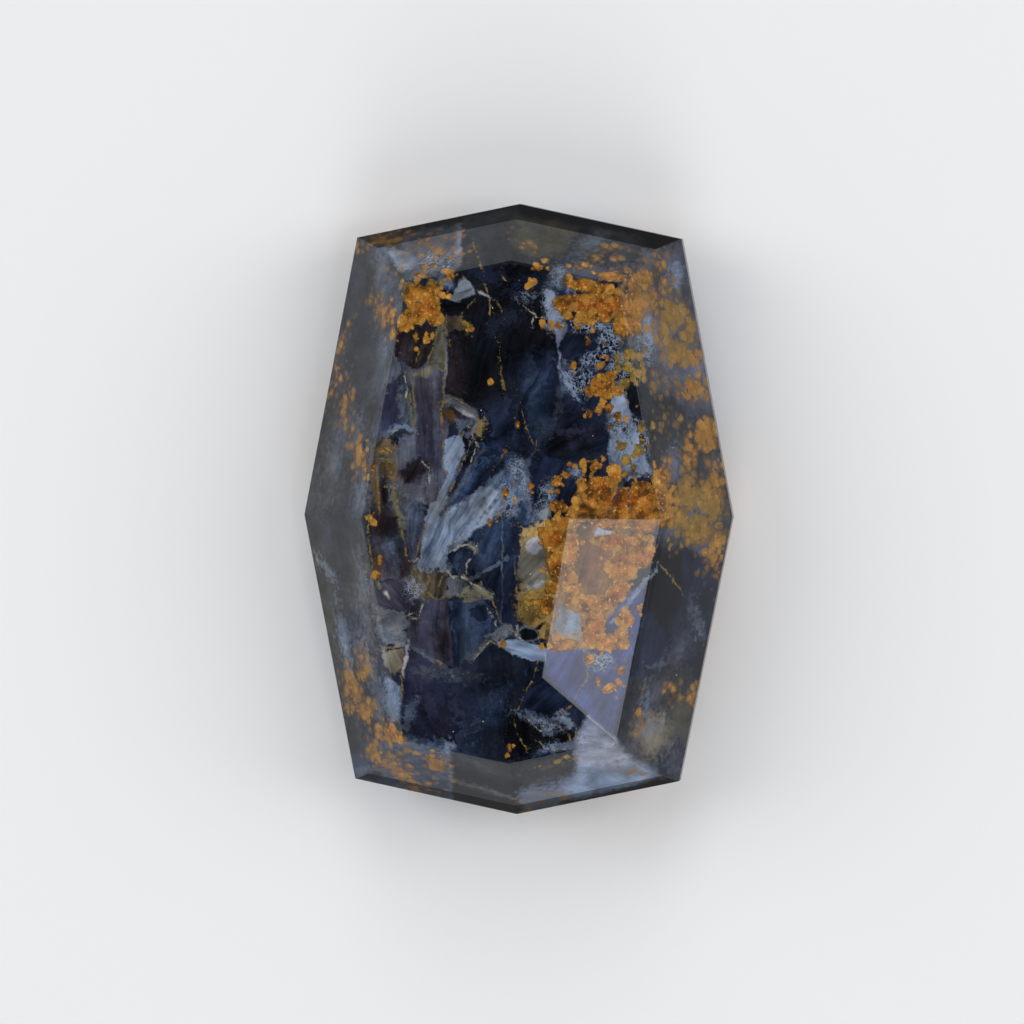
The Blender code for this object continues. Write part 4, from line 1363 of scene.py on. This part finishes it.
class StonePattern:
    """Lays out the stone's minerals, as colour and roughness. Rates are changes to the millimetre."""

    # How far noise bends outlines, in millimetres, and how fast the bends come.
    wide_warp = 0.14
    wide_warp_rate = 1.1
    fine_warp = 0.14
    fine_warp_rate = 5.0

    # The heights, in millimetres, between which the crown's pattern takes over from the depth's, and
    # those between which the pattern goes from crisp to blurred, as it lies deeper under the polish.
    crown_start = 0.85
    crown_end = 1.35
    crown_waver = 0.8
    crisp_height = 3.2
    blurred_height = 2.6

    # Fibres: how they bend, and the rates along and across of their bands, strands and hairs.
    fibre_bend = 0.22
    fibre_bend_rate = 0.7
    fibre_layers = (((0.5, 2.3), 0.9), ((1.2, 8.0), 0.6), ((2.4, 24.0), 0.42))
    silk_range = (0.68, 1.28)
    silk_blur = 0.5

    # Smoke: slow changes of brightness and hue in the stone.
    smoke_rate = 1.6
    smoke_low = 0.6
    smoke_high = 1.4
    hue_rate = 0.9

    # Froth: pale lace of a coarse and a fine mesh, over a thin haze.
    meshes = ((3.0, 24.0), (7.0, 22.0))
    haze_rate = 5.0
    haze_strength = 0.14

    # Blooms: round grains to the millimetre, how they crowd at a mass's edge, and their shading.
    grain_rate = 5.6
    grain_jostle = 0.1
    grain_least = 0.015
    grain_growth = 0.1
    grain_crowding = 0.55
    grain_edge = 0.012
    grain_blur = 0.075
    gap_rate = 3.6
    gap_depth = 1.3
    loose_depth = 0.08
    ripe_rate = 2.2
    shade_rate = 3.4
    sugar_rate = 14.0

    # Threads: the edge of the line, and the reach and strength of the dust beside it.
    thread_edge = (0.012, -0.006)
    thread_thinning = 0.006
    thread_dust = 0.07
    dust_rate = 16.0

    def __init__(self, graph: Graph, finish: StoneFinish, tile: Tile | None) -> None:
        """Works out the shared noises and positions, for one tile or for the stone below the crown."""
        self.graph = graph
        self.finish = finish
        self.tile = tile
        self.fields = self._shared_fields()

    def _shared_fields(self) -> Fields:
        """The object's position in millimetres, its places on the plan, and the noises for edges."""
        graph = self.graph
        place = graph.add("ShaderNodeTexCoord", {}, {}, "Object") * (1 / MM)
        height = place.dot((0.0, 0.0, 1.0))
        slant = (-tan(CAMERA_TILT_X), -tan(CAMERA_TILT_Y), 0.0)
        origin = (-PLAN_HEIGHT * slant[0], -PLAN_HEIGHT * slant[1], 1.0)
        level = (1.0, 1.0, 0.0)
        wide = graph.scatter(place, self.wide_warp_rate) * self.wide_warp
        fine = graph.scatter(place, self.fine_warp_rate, 3.0) * self.fine_warp
        plan = (place + graph.vector(slant) * height + wide) * level + origin
        ragged = plan + fine * level
        waver = (graph.noise(place, 1.7, 2.0) - 0.5) * self.crown_waver
        grit = graph.noise(place, 9.0, 3.0, 0.6) - 0.5
        crown = (height + waver).fade(self.crown_start, self.crown_end)
        blur = height.fade(self.crisp_height, self.blurred_height)
        return Fields(place, plan, ragged, height, grit, crown, blur)

    def _nearest(self, name: str, patches: Iterable[Oval]) -> Signal | None:
        """How far many patches are.

        Args:
            name: what they are.
            patches: their outlines.

        Returns:
            The distance to the nearest of them, in millimetres, below 0 inside, or None if the tile
            has none.
        """
        patches = self.tile.near(patches) if self.tile else []
        if not patches:
            return None

        def build(graph: Graph, given: dict[str, Signal]) -> dict[str, Signal]:
            """Takes the least of the patches' distances."""
            nearest = None
            for patch in patches:
                distance = patch.depth(graph, given["Plan"])
                nearest = distance if nearest is None else nearest.at_most(distance)
            return {"Distance": nearest}

        return self.graph.group(name, {"Plan": self.fields.ragged_plan}, build)["Distance"]

    def ground(self) -> Paint:
        """Broken blocks in depth, which show on the sides and the back."""
        graph = self.graph
        place = self.fields.place + graph.scatter(self.fields.place, 0.8) * 1.2
        block = graph.cells(place, 0.75, 1.0, "Color")
        pick = block.dot((1.0, 0.0, 0.0))
        order = (
            (0.0, Mineral.JET),
            (0.22, Mineral.NAVY),
            (0.42, Mineral.BLUE),
            (0.54, Mineral.VIOLET),
            (0.66, Mineral.SLATE),
            (0.78, Mineral.SILK),
            (0.86, Mineral.DUSK),
            (0.94, Mineral.MIST),
        )
        tones = []
        for layer in (0, 1):
            stops = [(at, mineral.value[layer]) for at, mineral in order]
            tone = graph.add("ShaderNodeValToRGB", {"stops": stops}, {"Fac": pick}, "Color")
            tone.socket.node.color_ramp.interpolation = "CONSTANT"
            tones.append(tone)
        return Paint(tones[0], tones[1], (block - (0.5, 0.5, 0.5)).unit())

    def blend(self, below: Paint, above: Paint) -> Paint:
        """Lets the depth's pattern turn into the crown's."""
        crown = self.fields.crown
        return Paint(
            self.graph.mix(crown, below.deep, above.deep),
            self.graph.mix(crown, below.pale_and_sheen, above.pale_and_sheen),
            self.graph.turn_towards(crown, below.grain, above.grain),
        )

    def lay(self, paint: Paint, blocks: Iterable[Block]) -> Paint:
        """Lays blocks over what is there, one after another.

        Args:
            paint: the pattern so far.
            blocks: the pieces to add.

        Returns:
            The pattern with the blocks in it.
        """

        def build(graph: Graph, given: dict[str, Signal]) -> dict[str, Signal]:
            """Mixes in each block's colours and fibres where it lies."""
            deep, pale_and_sheen, grain = given["Deep"], given["Sheen"], given["Grain"]
            for block in blocks:
                edge = given["Noise"].line(block.ragged / block.soft, 0.5, clamp=False)
                cover = block.patch.depth(graph, given["Plan"]).line(-0.5 / block.soft, edge)
                way = (cos(radians(block.grain)), sin(radians(block.grain)), 0.0)
                deep = graph.mix(cover, deep, block.mineral.value[0])
                pale_and_sheen = graph.mix(cover, pale_and_sheen, block.mineral.value[1])
                grain = graph.turn_towards(cover, grain, way)
            return {"Deep": deep, "Sheen": pale_and_sheen, "Grain": grain}

        given = {
            "Plan": self.fields.ragged_plan,
            "Noise": self.fields.fine,
            "Deep": paint.deep,
            "Sheen": paint.pale_and_sheen,
            "Grain": paint.grain,
        }
        laid = self.graph.group("blocks", given, build)
        return Paint(laid["Deep"], laid["Sheen"], laid["Grain"])

    def fibres(self, paint: Paint) -> Signal:
        """The blocks' colour, with fine fibres that run along each block's own grain; their paler streaks are partly
        the fibres' own colour and partly painted silky sheen.
        """
        graph = self.graph
        bend = graph.scatter(self.fields.place, self.fibre_bend_rate) * self.fibre_bend
        place = self.fields.place + bend
        turn = {"operation": "CROSS_PRODUCT"}
        across = graph.add("ShaderNodeVectorMath", turn, {0: paint.grain, 1: (0.0, 0.0, 1.0)})
        along = place.dot(paint.grain)
        side = place.dot(across)
        silk = 0.0
        for (slow, fast), share in self.fibre_layers:
            stretched = {0: along * slow, 1: side * fast, 2: self.fields.height}
            where = graph.add("ShaderNodeCombineXYZ", {}, stretched)
            silk = silk + graph.noise(where, 1.0, 1.5, 0.6) * share
        spread = self.fields.blur * self.silk_blur
        low, high = self.silk_range
        return graph.mix(silk.fade(low - spread, high + spread), paint.deep, paint.pale_and_sheen)

    def smoke(self, colour: Signal) -> Signal:
        """Makes the stone darker here and brighter there, and bluer or warmer."""
        graph = self.graph
        smoke = graph.noise(self.fields.place, self.smoke_rate, 4.0, 0.62).fade(0.3, 0.7)
        hue = graph.noise(self.fields.place, self.hue_rate, 2.0).fade(0.35, 0.65)
        cast = graph.turn_towards(hue, self.finish.warm_cast, self.finish.cool_cast)
        return colour * cast * (smoke * (self.smoke_high - self.smoke_low) + self.smoke_low)

    def froth(self, colour: Signal) -> Signal:
        """Adds the pale lace."""
        graph = self.graph
        distance = self._nearest("froths", FROTHS)
        if distance is None:
            return colour
        lace = 0.0
        for rate, thinness in self.meshes:
            swing = graph.noise(self.fields.place, rate, 3.0, 0.62) - 0.5
            line = 1 - swing.at_least(swing * -1) * thinness
            lace = line.at_least(lace)
        haze = graph.noise(self.fields.place, self.haze_rate, 3.0, 0.6).fade(0.46, 0.62) * self.haze_strength
        reach = (distance + self.fields.fine * 0.3).fade(0.1, -0.1) * self.fields.crown
        cover = lace.fade(0.2, 1.0).at_least(haze) * reach
        return graph.mix(cover, colour, self.finish.froth)

    def grains(self) -> Grains:
        """The noises that all blooms share."""
        graph = self.graph
        place = self.fields.place
        jostled = place + graph.scatter(place, 9.0, 3.0) * self.grain_jostle
        cells = graph.cells(jostled, self.grain_rate, 0.85, "Distance")
        pick = Signal(graph, cells.socket.node.outputs["Color"]).dot((1.0, 0.0, 0.0))
        gaps = graph.noise(place, self.gap_rate, 3.0, 0.6)
        shade = graph.noise(place, self.shade_rate, 4.0, 0.7)
        sugar = graph.noise(place, self.sugar_rate, 3.0, 0.7)
        return Grains(cells / self.grain_rate, pick, gaps, shade, sugar)

    def _bloom_colour(self, grains: Grains, within: Signal, finish: BloomFinish) -> Signal:
        """A bloom's granular colour.

        Args:
            grains: the noises that all blooms share.
            within: how far inside a grain's rim a point is, in millimetres.
            finish: the bloom's colours.

        Returns:
            The colour.
        """
        graph = self.graph
        hue = graph.noise(self.fields.place, self.ripe_rate, 3.0, 0.6).fade(0.4, 0.6)
        rich = graph.mix(hue, finish.rich, finish.ripe)
        rich = graph.mix(within.fade(0.14, 0.03) * 0.8, rich, finish.rind)
        body = graph.mix(grains.shade.fade(0.36, 0.56), finish.dark, rich)
        body = graph.mix(grains.shade.fade(0.56, 0.76), body, finish.light)
        body = graph.mix(within.fade(0.03, 0.0), body, finish.dark)
        body = graph.mix(grains.from_grain.fade(0.06, 0.12) * 0.22, body, finish.dark)
        body = graph.mix(grains.pick.fade(0.5, 1.0) * 0.3, body, finish.light)
        body = graph.mix(grains.sugar.fade(0.44, 0.3) * 0.6, body, finish.dark)
        body = graph.mix(grains.sugar.fade(0.56, 0.7) * 0.9, body, finish.light)
        return graph.mix(self.fields.blur * 0.5, body, self.finish.deep_bloom)

    def bloom(
        self, colour: Signal, grains: Grains, name: str, patches: Iterable[Oval], finish: BloomFinish
    ) -> tuple[Signal, Signal | float]:
        """Adds one kind of bloom: solid masses that break up into round grains at the edge.

        Args:
            colour: the pattern so far.
            grains: the noises that all blooms share.
            name: what the blooms are.
            patches: where they are.
            finish: their colours.

        Returns:
            The pattern with the blooms, and where they are.
        """
        nearest = self._nearest(name, patches)
        if nearest is None:
            return colour, 0.0
        distance = nearest + (1 - self.fields.crown) * 3
        size = grains.pick * self.grain_growth + self.grain_least
        crowd = size - distance.at_least(-0.1) * self.grain_crowding - grains.from_grain
        gaps = (0.5 - grains.gaps).at_least(0.0) * self.gap_depth
        loose = (gaps + self.loose_depth) * self.fields.blur
        inside = self.fields.fine * 0.12 - distance - loose
        within = inside.at_least(crowd)
        edge = self.fields.blur * self.grain_blur + self.grain_edge
        cover = within.fade(edge * -1, edge)
        body = self._bloom_colour(grains, within, finish)
        return self.graph.mix(cover, colour, body), cover

    def buried_blooms(self, colour: Signal, grains: Grains) -> tuple[Signal, Signal]:
        """Adds the blooms that show on the sides and back, laid out by noise in depth."""
        mass = self.graph.noise(self.fields.place, 0.42, 3.0, 0.55)
        within = (mass - 0.53) * 0.9 + 0.02 + grains.pick * 0.07 - grains.from_grain
        cover = within.fade(-self.grain_edge, self.grain_edge) * (1 - self.fields.crown)
        body = self._bloom_colour(grains, within, self.finish.orange)
        return self.graph.mix(cover, colour, body), cover

    def threads(self, colour: Signal, name: str, threads: tuple[Thread, ...], tone: Triple) -> Signal:
        """Adds thin veins of one colour, broken here and there, with dust beside them."""
        graph = self.graph
        place = self.fields.place
        nearest = self._nearest(name, (oval for thread in threads for oval in thread.ovals()))
        if nearest is None:
            return colour
        distance = nearest + self.fields.fine * 0.1 + self.thread_thinning
        broken = graph.noise(place, 5.0, 2.0).fade(0.3, 0.5)
        dust = graph.noise(place, self.dust_rate, 3.0, 0.7)
        beside = distance.fade(self.thread_dust, 0.0) * dust.fade(0.58, 0.68) * 0.6
        line = distance.fade(*self.thread_edge) * broken * dust.fade(0.3, 0.55)
        cover = line.at_least(beside) * self.fields.crown
        return graph.mix(cover, colour, tone)

    def hollows(self, colour: Signal) -> Signal:
        """Adds the brown hollows and dark cracks."""
        nearest = self._nearest("hollows", HOLLOWS)
        if nearest is None:
            return colour
        distance = nearest + self.fields.fine * 0.2
        cover = distance.fade(0.05, -0.08) * self.fields.crown * 0.85
        return self.graph.mix(cover, colour, self.finish.hollow)

    def painted_glints(self, colour: Signal) -> Signal:
        """Adds a few tiny pale painted glints, where small pits in the polish would catch the light."""
        near = self.graph.cells(self.fields.place, 1.6, 1.0, "Distance")
        return self.graph.mix(near.fade(0.028, 0.016) * 0.8, colour, self.finish.painted_glint)

    def colour_and_roughness(self) -> tuple[Signal, Signal]:
        """Builds the whole pattern.

        Returns:
            The base colour and the roughness.
        """
        graph = self.graph
        finish = self.finish
        if self.tile:
            deep, pale_and_sheen = Mineral.NAVY.value
            start = Paint(graph.colour(deep), graph.colour(pale_and_sheen), graph.vector((0.0, 1.0, 0.0)))
            paint = self.lay(start, self.tile.near(BLOCKS))
            if not self.tile.inner:
                paint = self.blend(self.ground(), paint)
        else:
            paint = self.ground()
        colour = self.froth(self.smoke(self.fibres(paint)))
        grains = self.grains()
        buried: Signal | float = 0.0
        if not (self.tile and self.tile.inner):
            colour, buried = self.buried_blooms(colour, grains)
        colour, olive = self.bloom(colour, grains, "olives", OLIVES, finish.olive)
        colour, orange = self.bloom(colour, grains, "oranges", BLOOMS, finish.orange)
        colour = self.hollows(colour)
        colour = self.threads(colour, "slate_threads", SLATE_THREADS, finish.slate)
        colour = self.threads(colour, "gold_threads", GOLD_THREADS, finish.gold)
        colour = self.threads(colour, "cream_threads", CREAM_THREADS, finish.cream)
        # Painted shade: finish.shade below 1 darkens the colour of the steep end bands.
        colour = self.painted_glints(colour) * finish.shade
        return colour, self._roughness([buried, olive, orange])

    def _roughness(self, blooms: list[Signal | float]) -> Signal:
        """Glassy on the crown, duller on blooms, on the girdle and on the back."""
        finish = self.finish
        height = self.fields.height
        rough: Signal | float = finish.crown_rough
        for bloom in blooms:
            duller = bloom * (finish.bloom_rough - finish.crown_rough) + finish.crown_rough
            rough = duller.at_least(rough) if isinstance(duller, Signal) else rough
        girdle = height.fade(0.98, 1.0) * height.fade(1.46, 1.44)
        back = height.fade(0.03, 0.01)
        rough = rough + girdle * (finish.girdle_rough - finish.crown_rough)
        return rough + back * (finish.back_rough - finish.crown_rough)


@dataclass
class Gemstone:
    """The cut stone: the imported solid's facets with their edges just broken, and its materials."""

    edge_radius: float = 0.014 * MM
    same_point: float = 0.0005 * MM
    same_plane: float = radians(0.05)
    girdle_bottom: float = 0.99
    column_lines: tuple[float, ...] = (-4.8, -2.3, -1.0, 0.9, 2.2, 4.8)
    row_lines: tuple[float, ...] = (-6.8, -4.2, -2.4, -0.7, 1.0, 2.7, 4.2, 6.8)
    # The steep end bands lose nearly all their gloss, and their colour is darkened as painted shade, in place of the
    # dark reflection that they show.
    band_gloss: float = 0.02
    band_painted_shade: float = 0.4
    band_rise: float = 0.52

    def tiles(self) -> list[Tile]:
        """The crown's tiles, column by column."""
        wide, high = self.column_lines, self.row_lines
        found = []
        for west, east in zip(wide, wide[1:]):
            for south, north in zip(high, high[1:]):
                beside = wide[0] < west and east < wide[-1]
                level = high[0] < south and north < high[-1]
                found.append(Tile(west, east, south, north, inner=beside and level))
        return found

    @property
    def band_index(self) -> int:
        """The first of the two materials for the steep bands at the ends, whose colour is darkened with painted shade.
        """
        return 1 + (len(self.column_lines) - 1) * (len(self.row_lines) - 1)

    def bands(self) -> list[Tile]:
        """The parts of the plan that the steep bands at the near and the far end take up, where painted shade darkens
        the colour.
        """
        west, east = self.column_lines[0], self.column_lines[-1]
        return [Tile(west, east, -6.8, -5.6, 0.0), Tile(west, east, 5.8, 6.8, 0.0)]

    def cut_tiles(self, shape: bmesh.types.BMesh) -> None:
        """Cuts the crown's and the girdle's facets along the tiles' edges, and numbers them.

        Args:
            shape: the stone, whose facets below the girdle stay whole with the first material.
        """
        slant_x = Vector((1.0, 0.0, -tan(CAMERA_TILT_X)))
        slant_y = Vector((0.0, 1.0, -tan(CAMERA_TILT_Y)))
        level = Vector((0.0, 0.0, PLAN_HEIGHT))
        for slant, lines in ((slant_x, self.column_lines), (slant_y, self.row_lines)):
            for line in lines[1:-1]:
                faces = [f for f in shape.faces if f.calc_center_bounds().z > self.girdle_bottom * MM]
                edges = {edge for face in faces for edge in face.edges}
                points = {point for face in faces for point in face.verts}
                start = (level + slant * line / slant.length_squared) * MM
                bmesh.ops.bisect_plane(
                    shape, geom=[*faces, *edges, *points], dist=1e-9, plane_co=start, plane_no=slant
                )
        for face in shape.faces:
            middle = face.calc_center_median() / MM
            if middle.z < self.girdle_bottom:
                continue
            across = (middle - level).dot(slant_x)
            along = (middle - level).dot(slant_y)
            column = sum(across > line for line in self.column_lines[1:-1])
            row = sum(along > line for line in self.row_lines[1:-1])
            face.material_index = 1 + column * (len(self.row_lines) - 1) + row
            # The steep bands at the ends get their own darker materials, with painted shade.
            steep = 0.1 < face.normal.z < self.band_rise
            if steep and abs(face.normal.y) > abs(face.normal.x):
                face.material_index = self.band_index + (middle.y > 0)

    def shape(self) -> bpy.types.Mesh:
        """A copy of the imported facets, merged, each facet one face, its edges broken and cut in tiles."""
        shape = bmesh.new()
        shape.from_mesh(bpy.data.objects[GEM_NODE].data)
        bmesh.ops.remove_doubles(shape, verts=shape.verts, dist=self.same_point)
        bmesh.ops.dissolve_limit(
            shape, angle_limit=self.same_plane, verts=shape.verts, edges=shape.edges
        )
        bmesh.ops.bevel(
            shape,
            geom=shape.edges[:],
            offset=self.edge_radius,
            offset_type="OFFSET",
            segments=2,
            profile=0.5,
            affect="EDGES",
            clamp_overlap=True,
            material=-1,
        )
        bmesh.ops.recalc_face_normals(shape, faces=shape.faces)
        self.cut_tiles(shape)
        mesh = bpy.data.meshes.new("pietersite_stone")
        shape.to_mesh(mesh)
        shape.free()
        return mesh

    def material(self, finish: StoneFinish, tile: Tile | None) -> bpy.types.Material:
        """The polished stone's material.

        Args:
            finish: how it is polished and coloured.
            tile: the part of the crown that it is for, or None below the girdle.

        Returns:
            The material.
        """
        material = bpy.data.materials.new("polished_pietersite")
        material.use_nodes = True
        graph = Graph(material.node_tree)
        colour, roughness = StonePattern(graph, finish, tile).colour_and_roughness()
        shader = {
            "Base Color": colour,
            "Roughness": roughness,
            "IOR": finish.ior,
            "Specular IOR Level": finish.gloss,
        }
        surface = graph.add("ShaderNodeBsdfPrincipled", {}, shader, "BSDF")
        graph.finish("ShaderNodeOutputMaterial", "Surface", surface)
        return material

    def build(self) -> bpy.types.Object:
        """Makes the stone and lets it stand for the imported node.

        Returns:
            The stone.
        """
        mesh = self.shape()
        finish = StoneFinish()
        for tile in [None, *self.tiles()]:
            mesh.materials.append(self.material(finish, tile))
        # The end bands' materials: nearly no gloss, and colour darkened with painted shade.
        for tile in self.bands():
            band = replace(finish, gloss=self.band_gloss, shade=self.band_painted_shade)
            mesh.materials.append(self.material(band, tile))
        stone = bpy.data.objects.new("pietersite_stone", mesh)
        bpy.context.scene.collection.objects.link(stone)
        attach(stone, "root")
        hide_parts(GEM_NODE)
        LOG.info("%s: %d faces, %d materials", stone.name, len(mesh.polygons), len(mesh.materials))
        return stone


@dataclass(frozen=True)
class Panel:
    """A soft light: where it stands seen from the stone, its size, its brightness and its tint.

    aside and along are how many degrees it leans from overhead towards +X and +Y.
    """

    name: str
    aside: float
    along: float
    reach: float
    size: float
    radiance: float
    tint: Triple = (1.0, 1.0, 1.0)

    def build(self) -> bpy.types.Object:
        """Makes the light, facing the stone."""
        lean = hypot(self.aside, self.along)
        sideways = sin(radians(lean)) * self.reach / lean
        place = Vector((self.aside * sideways, self.along * sideways, cos(radians(lean)) * self.reach))
        lamp = bpy.data.lights.new(self.name, "AREA")
        lamp.shape = "SQUARE"
        lamp.size = self.size
        lamp.energy = self.radiance * pi * self.size**2
        lamp.color = self.tint
        light = bpy.data.objects.new(self.name, lamp)
        light.matrix_world = Matrix.Translation(place) @ place.to_track_quat("Z", "Y").to_matrix().to_4x4()
        bpy.context.scene.collection.objects.link(light)
        return light


@dataclass
class Studio:
    """The pale floor, the soft light and the camera."""

    floor_radius: float = 1.5
    floor_tone: Triple = (0.88, 0.885, 0.89)
    floor_rough: float = 0.7
    floor_gloss: float = 0.1
    camera_reach: float = 0.3
    view_width: float = 1024 / 46.96 * MM
    sensor: float = 36.0
    aim_x: float = -0.130 * MM
    aim_y: float = -0.058 * MM
    panels: tuple[Panel, ...] = (
        Panel("left_panel", -52, 16, 0.5, 0.3, 3.1),
        Panel("right_panel", 52, 10, 0.5, 0.3, 2.9),
        Panel("near_panel", 4, -54, 0.5, 0.3, 2.7),
        Panel("far_panel", 0, 54, 0.5, 0.3, 2.1),
        Panel("window", 18.6, -7.2, 0.5, 0.075, 5.1, (1.0, 1.0, 1.03)),
    )
    room_tones: tuple[tuple[float, Triple], ...] = (
        (0.0, (222, 222, 224)),
        (0.45, (200, 201, 204)),
        (0.72, (120, 122, 126)),
        (0.87, (34, 35, 38)),
        (1.0, (22, 23, 26)),
    )

    def floor(self) -> bpy.types.Object:
        """A wide pale disc under the stone."""
        shape = bmesh.new()
        bmesh.ops.create_circle(shape, cap_ends=True, segments=96, radius=self.floor_radius)
        mesh = bpy.data.meshes.new("floor")
        shape.to_mesh(mesh)
        shape.free()
        material = bpy.data.materials.new("pale_floor")
        material.use_nodes = True
        shader = material.node_tree.nodes["Principled BSDF"]
        shader.inputs["Base Color"].default_value = (*self.floor_tone, 1.0)
        shader.inputs["Roughness"].default_value = self.floor_rough
        shader.inputs["Specular IOR Level"].default_value = self.floor_gloss
        mesh.materials.append(material)
        floor = bpy.data.objects.new("floor", mesh)
        bpy.context.scene.collection.objects.link(floor)
        return floor

    def sky(self) -> None:
        """A room that is pale all round and dark overhead, where the camera stands."""
        world = bpy.data.worlds.new("studio")
        bpy.context.scene.world = world
        world.use_nodes = True
        graph = Graph(world.node_tree)
        way = graph.add("ShaderNodeTexCoord", {}, {}, "Generated")
        up = way.dot((0.0, 0.0, 1.0))
        tone = graph.add("ShaderNodeValToRGB", {"stops": self.room_tones}, {"Fac": up}, "Color")
        glow = graph.add("ShaderNodeBackground", {}, {"Color": tone}, "Background")
        graph.finish("ShaderNodeOutputWorld", "Surface", glow)

    def camera(self) -> bpy.types.Object:
        """A long lens almost straight above the stone."""
        toward = Vector((sin(CAMERA_TILT_X), sin(CAMERA_TILT_Y), 1.0)).normalized()
        up = Vector((0.0, 1.0, 0.0))
        up = (up - toward * up.dot(toward)).normalized()
        right = up.cross(toward)
        roll = Matrix.Rotation(CAMERA_ROLL, 3, toward)
        right, up = roll @ right, roll @ up
        aim = Vector((0.0, 0.0, PLAN_HEIGHT * MM)) + right * self.aim_x + up * self.aim_y
        lens = bpy.data.cameras.new("camera")
        lens.sensor_width = self.sensor
        lens.lens = self.sensor * self.camera_reach / self.view_width
        lens.clip_start = self.camera_reach / 30
        camera = bpy.data.objects.new("camera", lens)
        axes = Matrix((right, up, toward)).transposed().to_4x4()
        camera.matrix_world = Matrix.Translation(aim + toward * self.camera_reach) @ axes
        bpy.context.scene.collection.objects.link(camera)
        bpy.context.scene.camera = camera
        return camera

    def build(self) -> None:
        """Sets up everything that isn't the object."""
        self.camera()
        self.floor()
        self.sky()
        for panel in self.panels:
            panel.build()
        view = bpy.context.scene.view_settings
        view.view_transform = "Standard"
        LOG.info("studio: %d panels", len(self.panels))


def main() -> None:
    """Loads the frame, dresses the stone and sets up the studio."""
    logging.basicConfig(level=logging.INFO, format="%(name)s %(message)s")
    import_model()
    Studio().build()
    Gemstone().build()


if __name__ == "__main__":
    main()
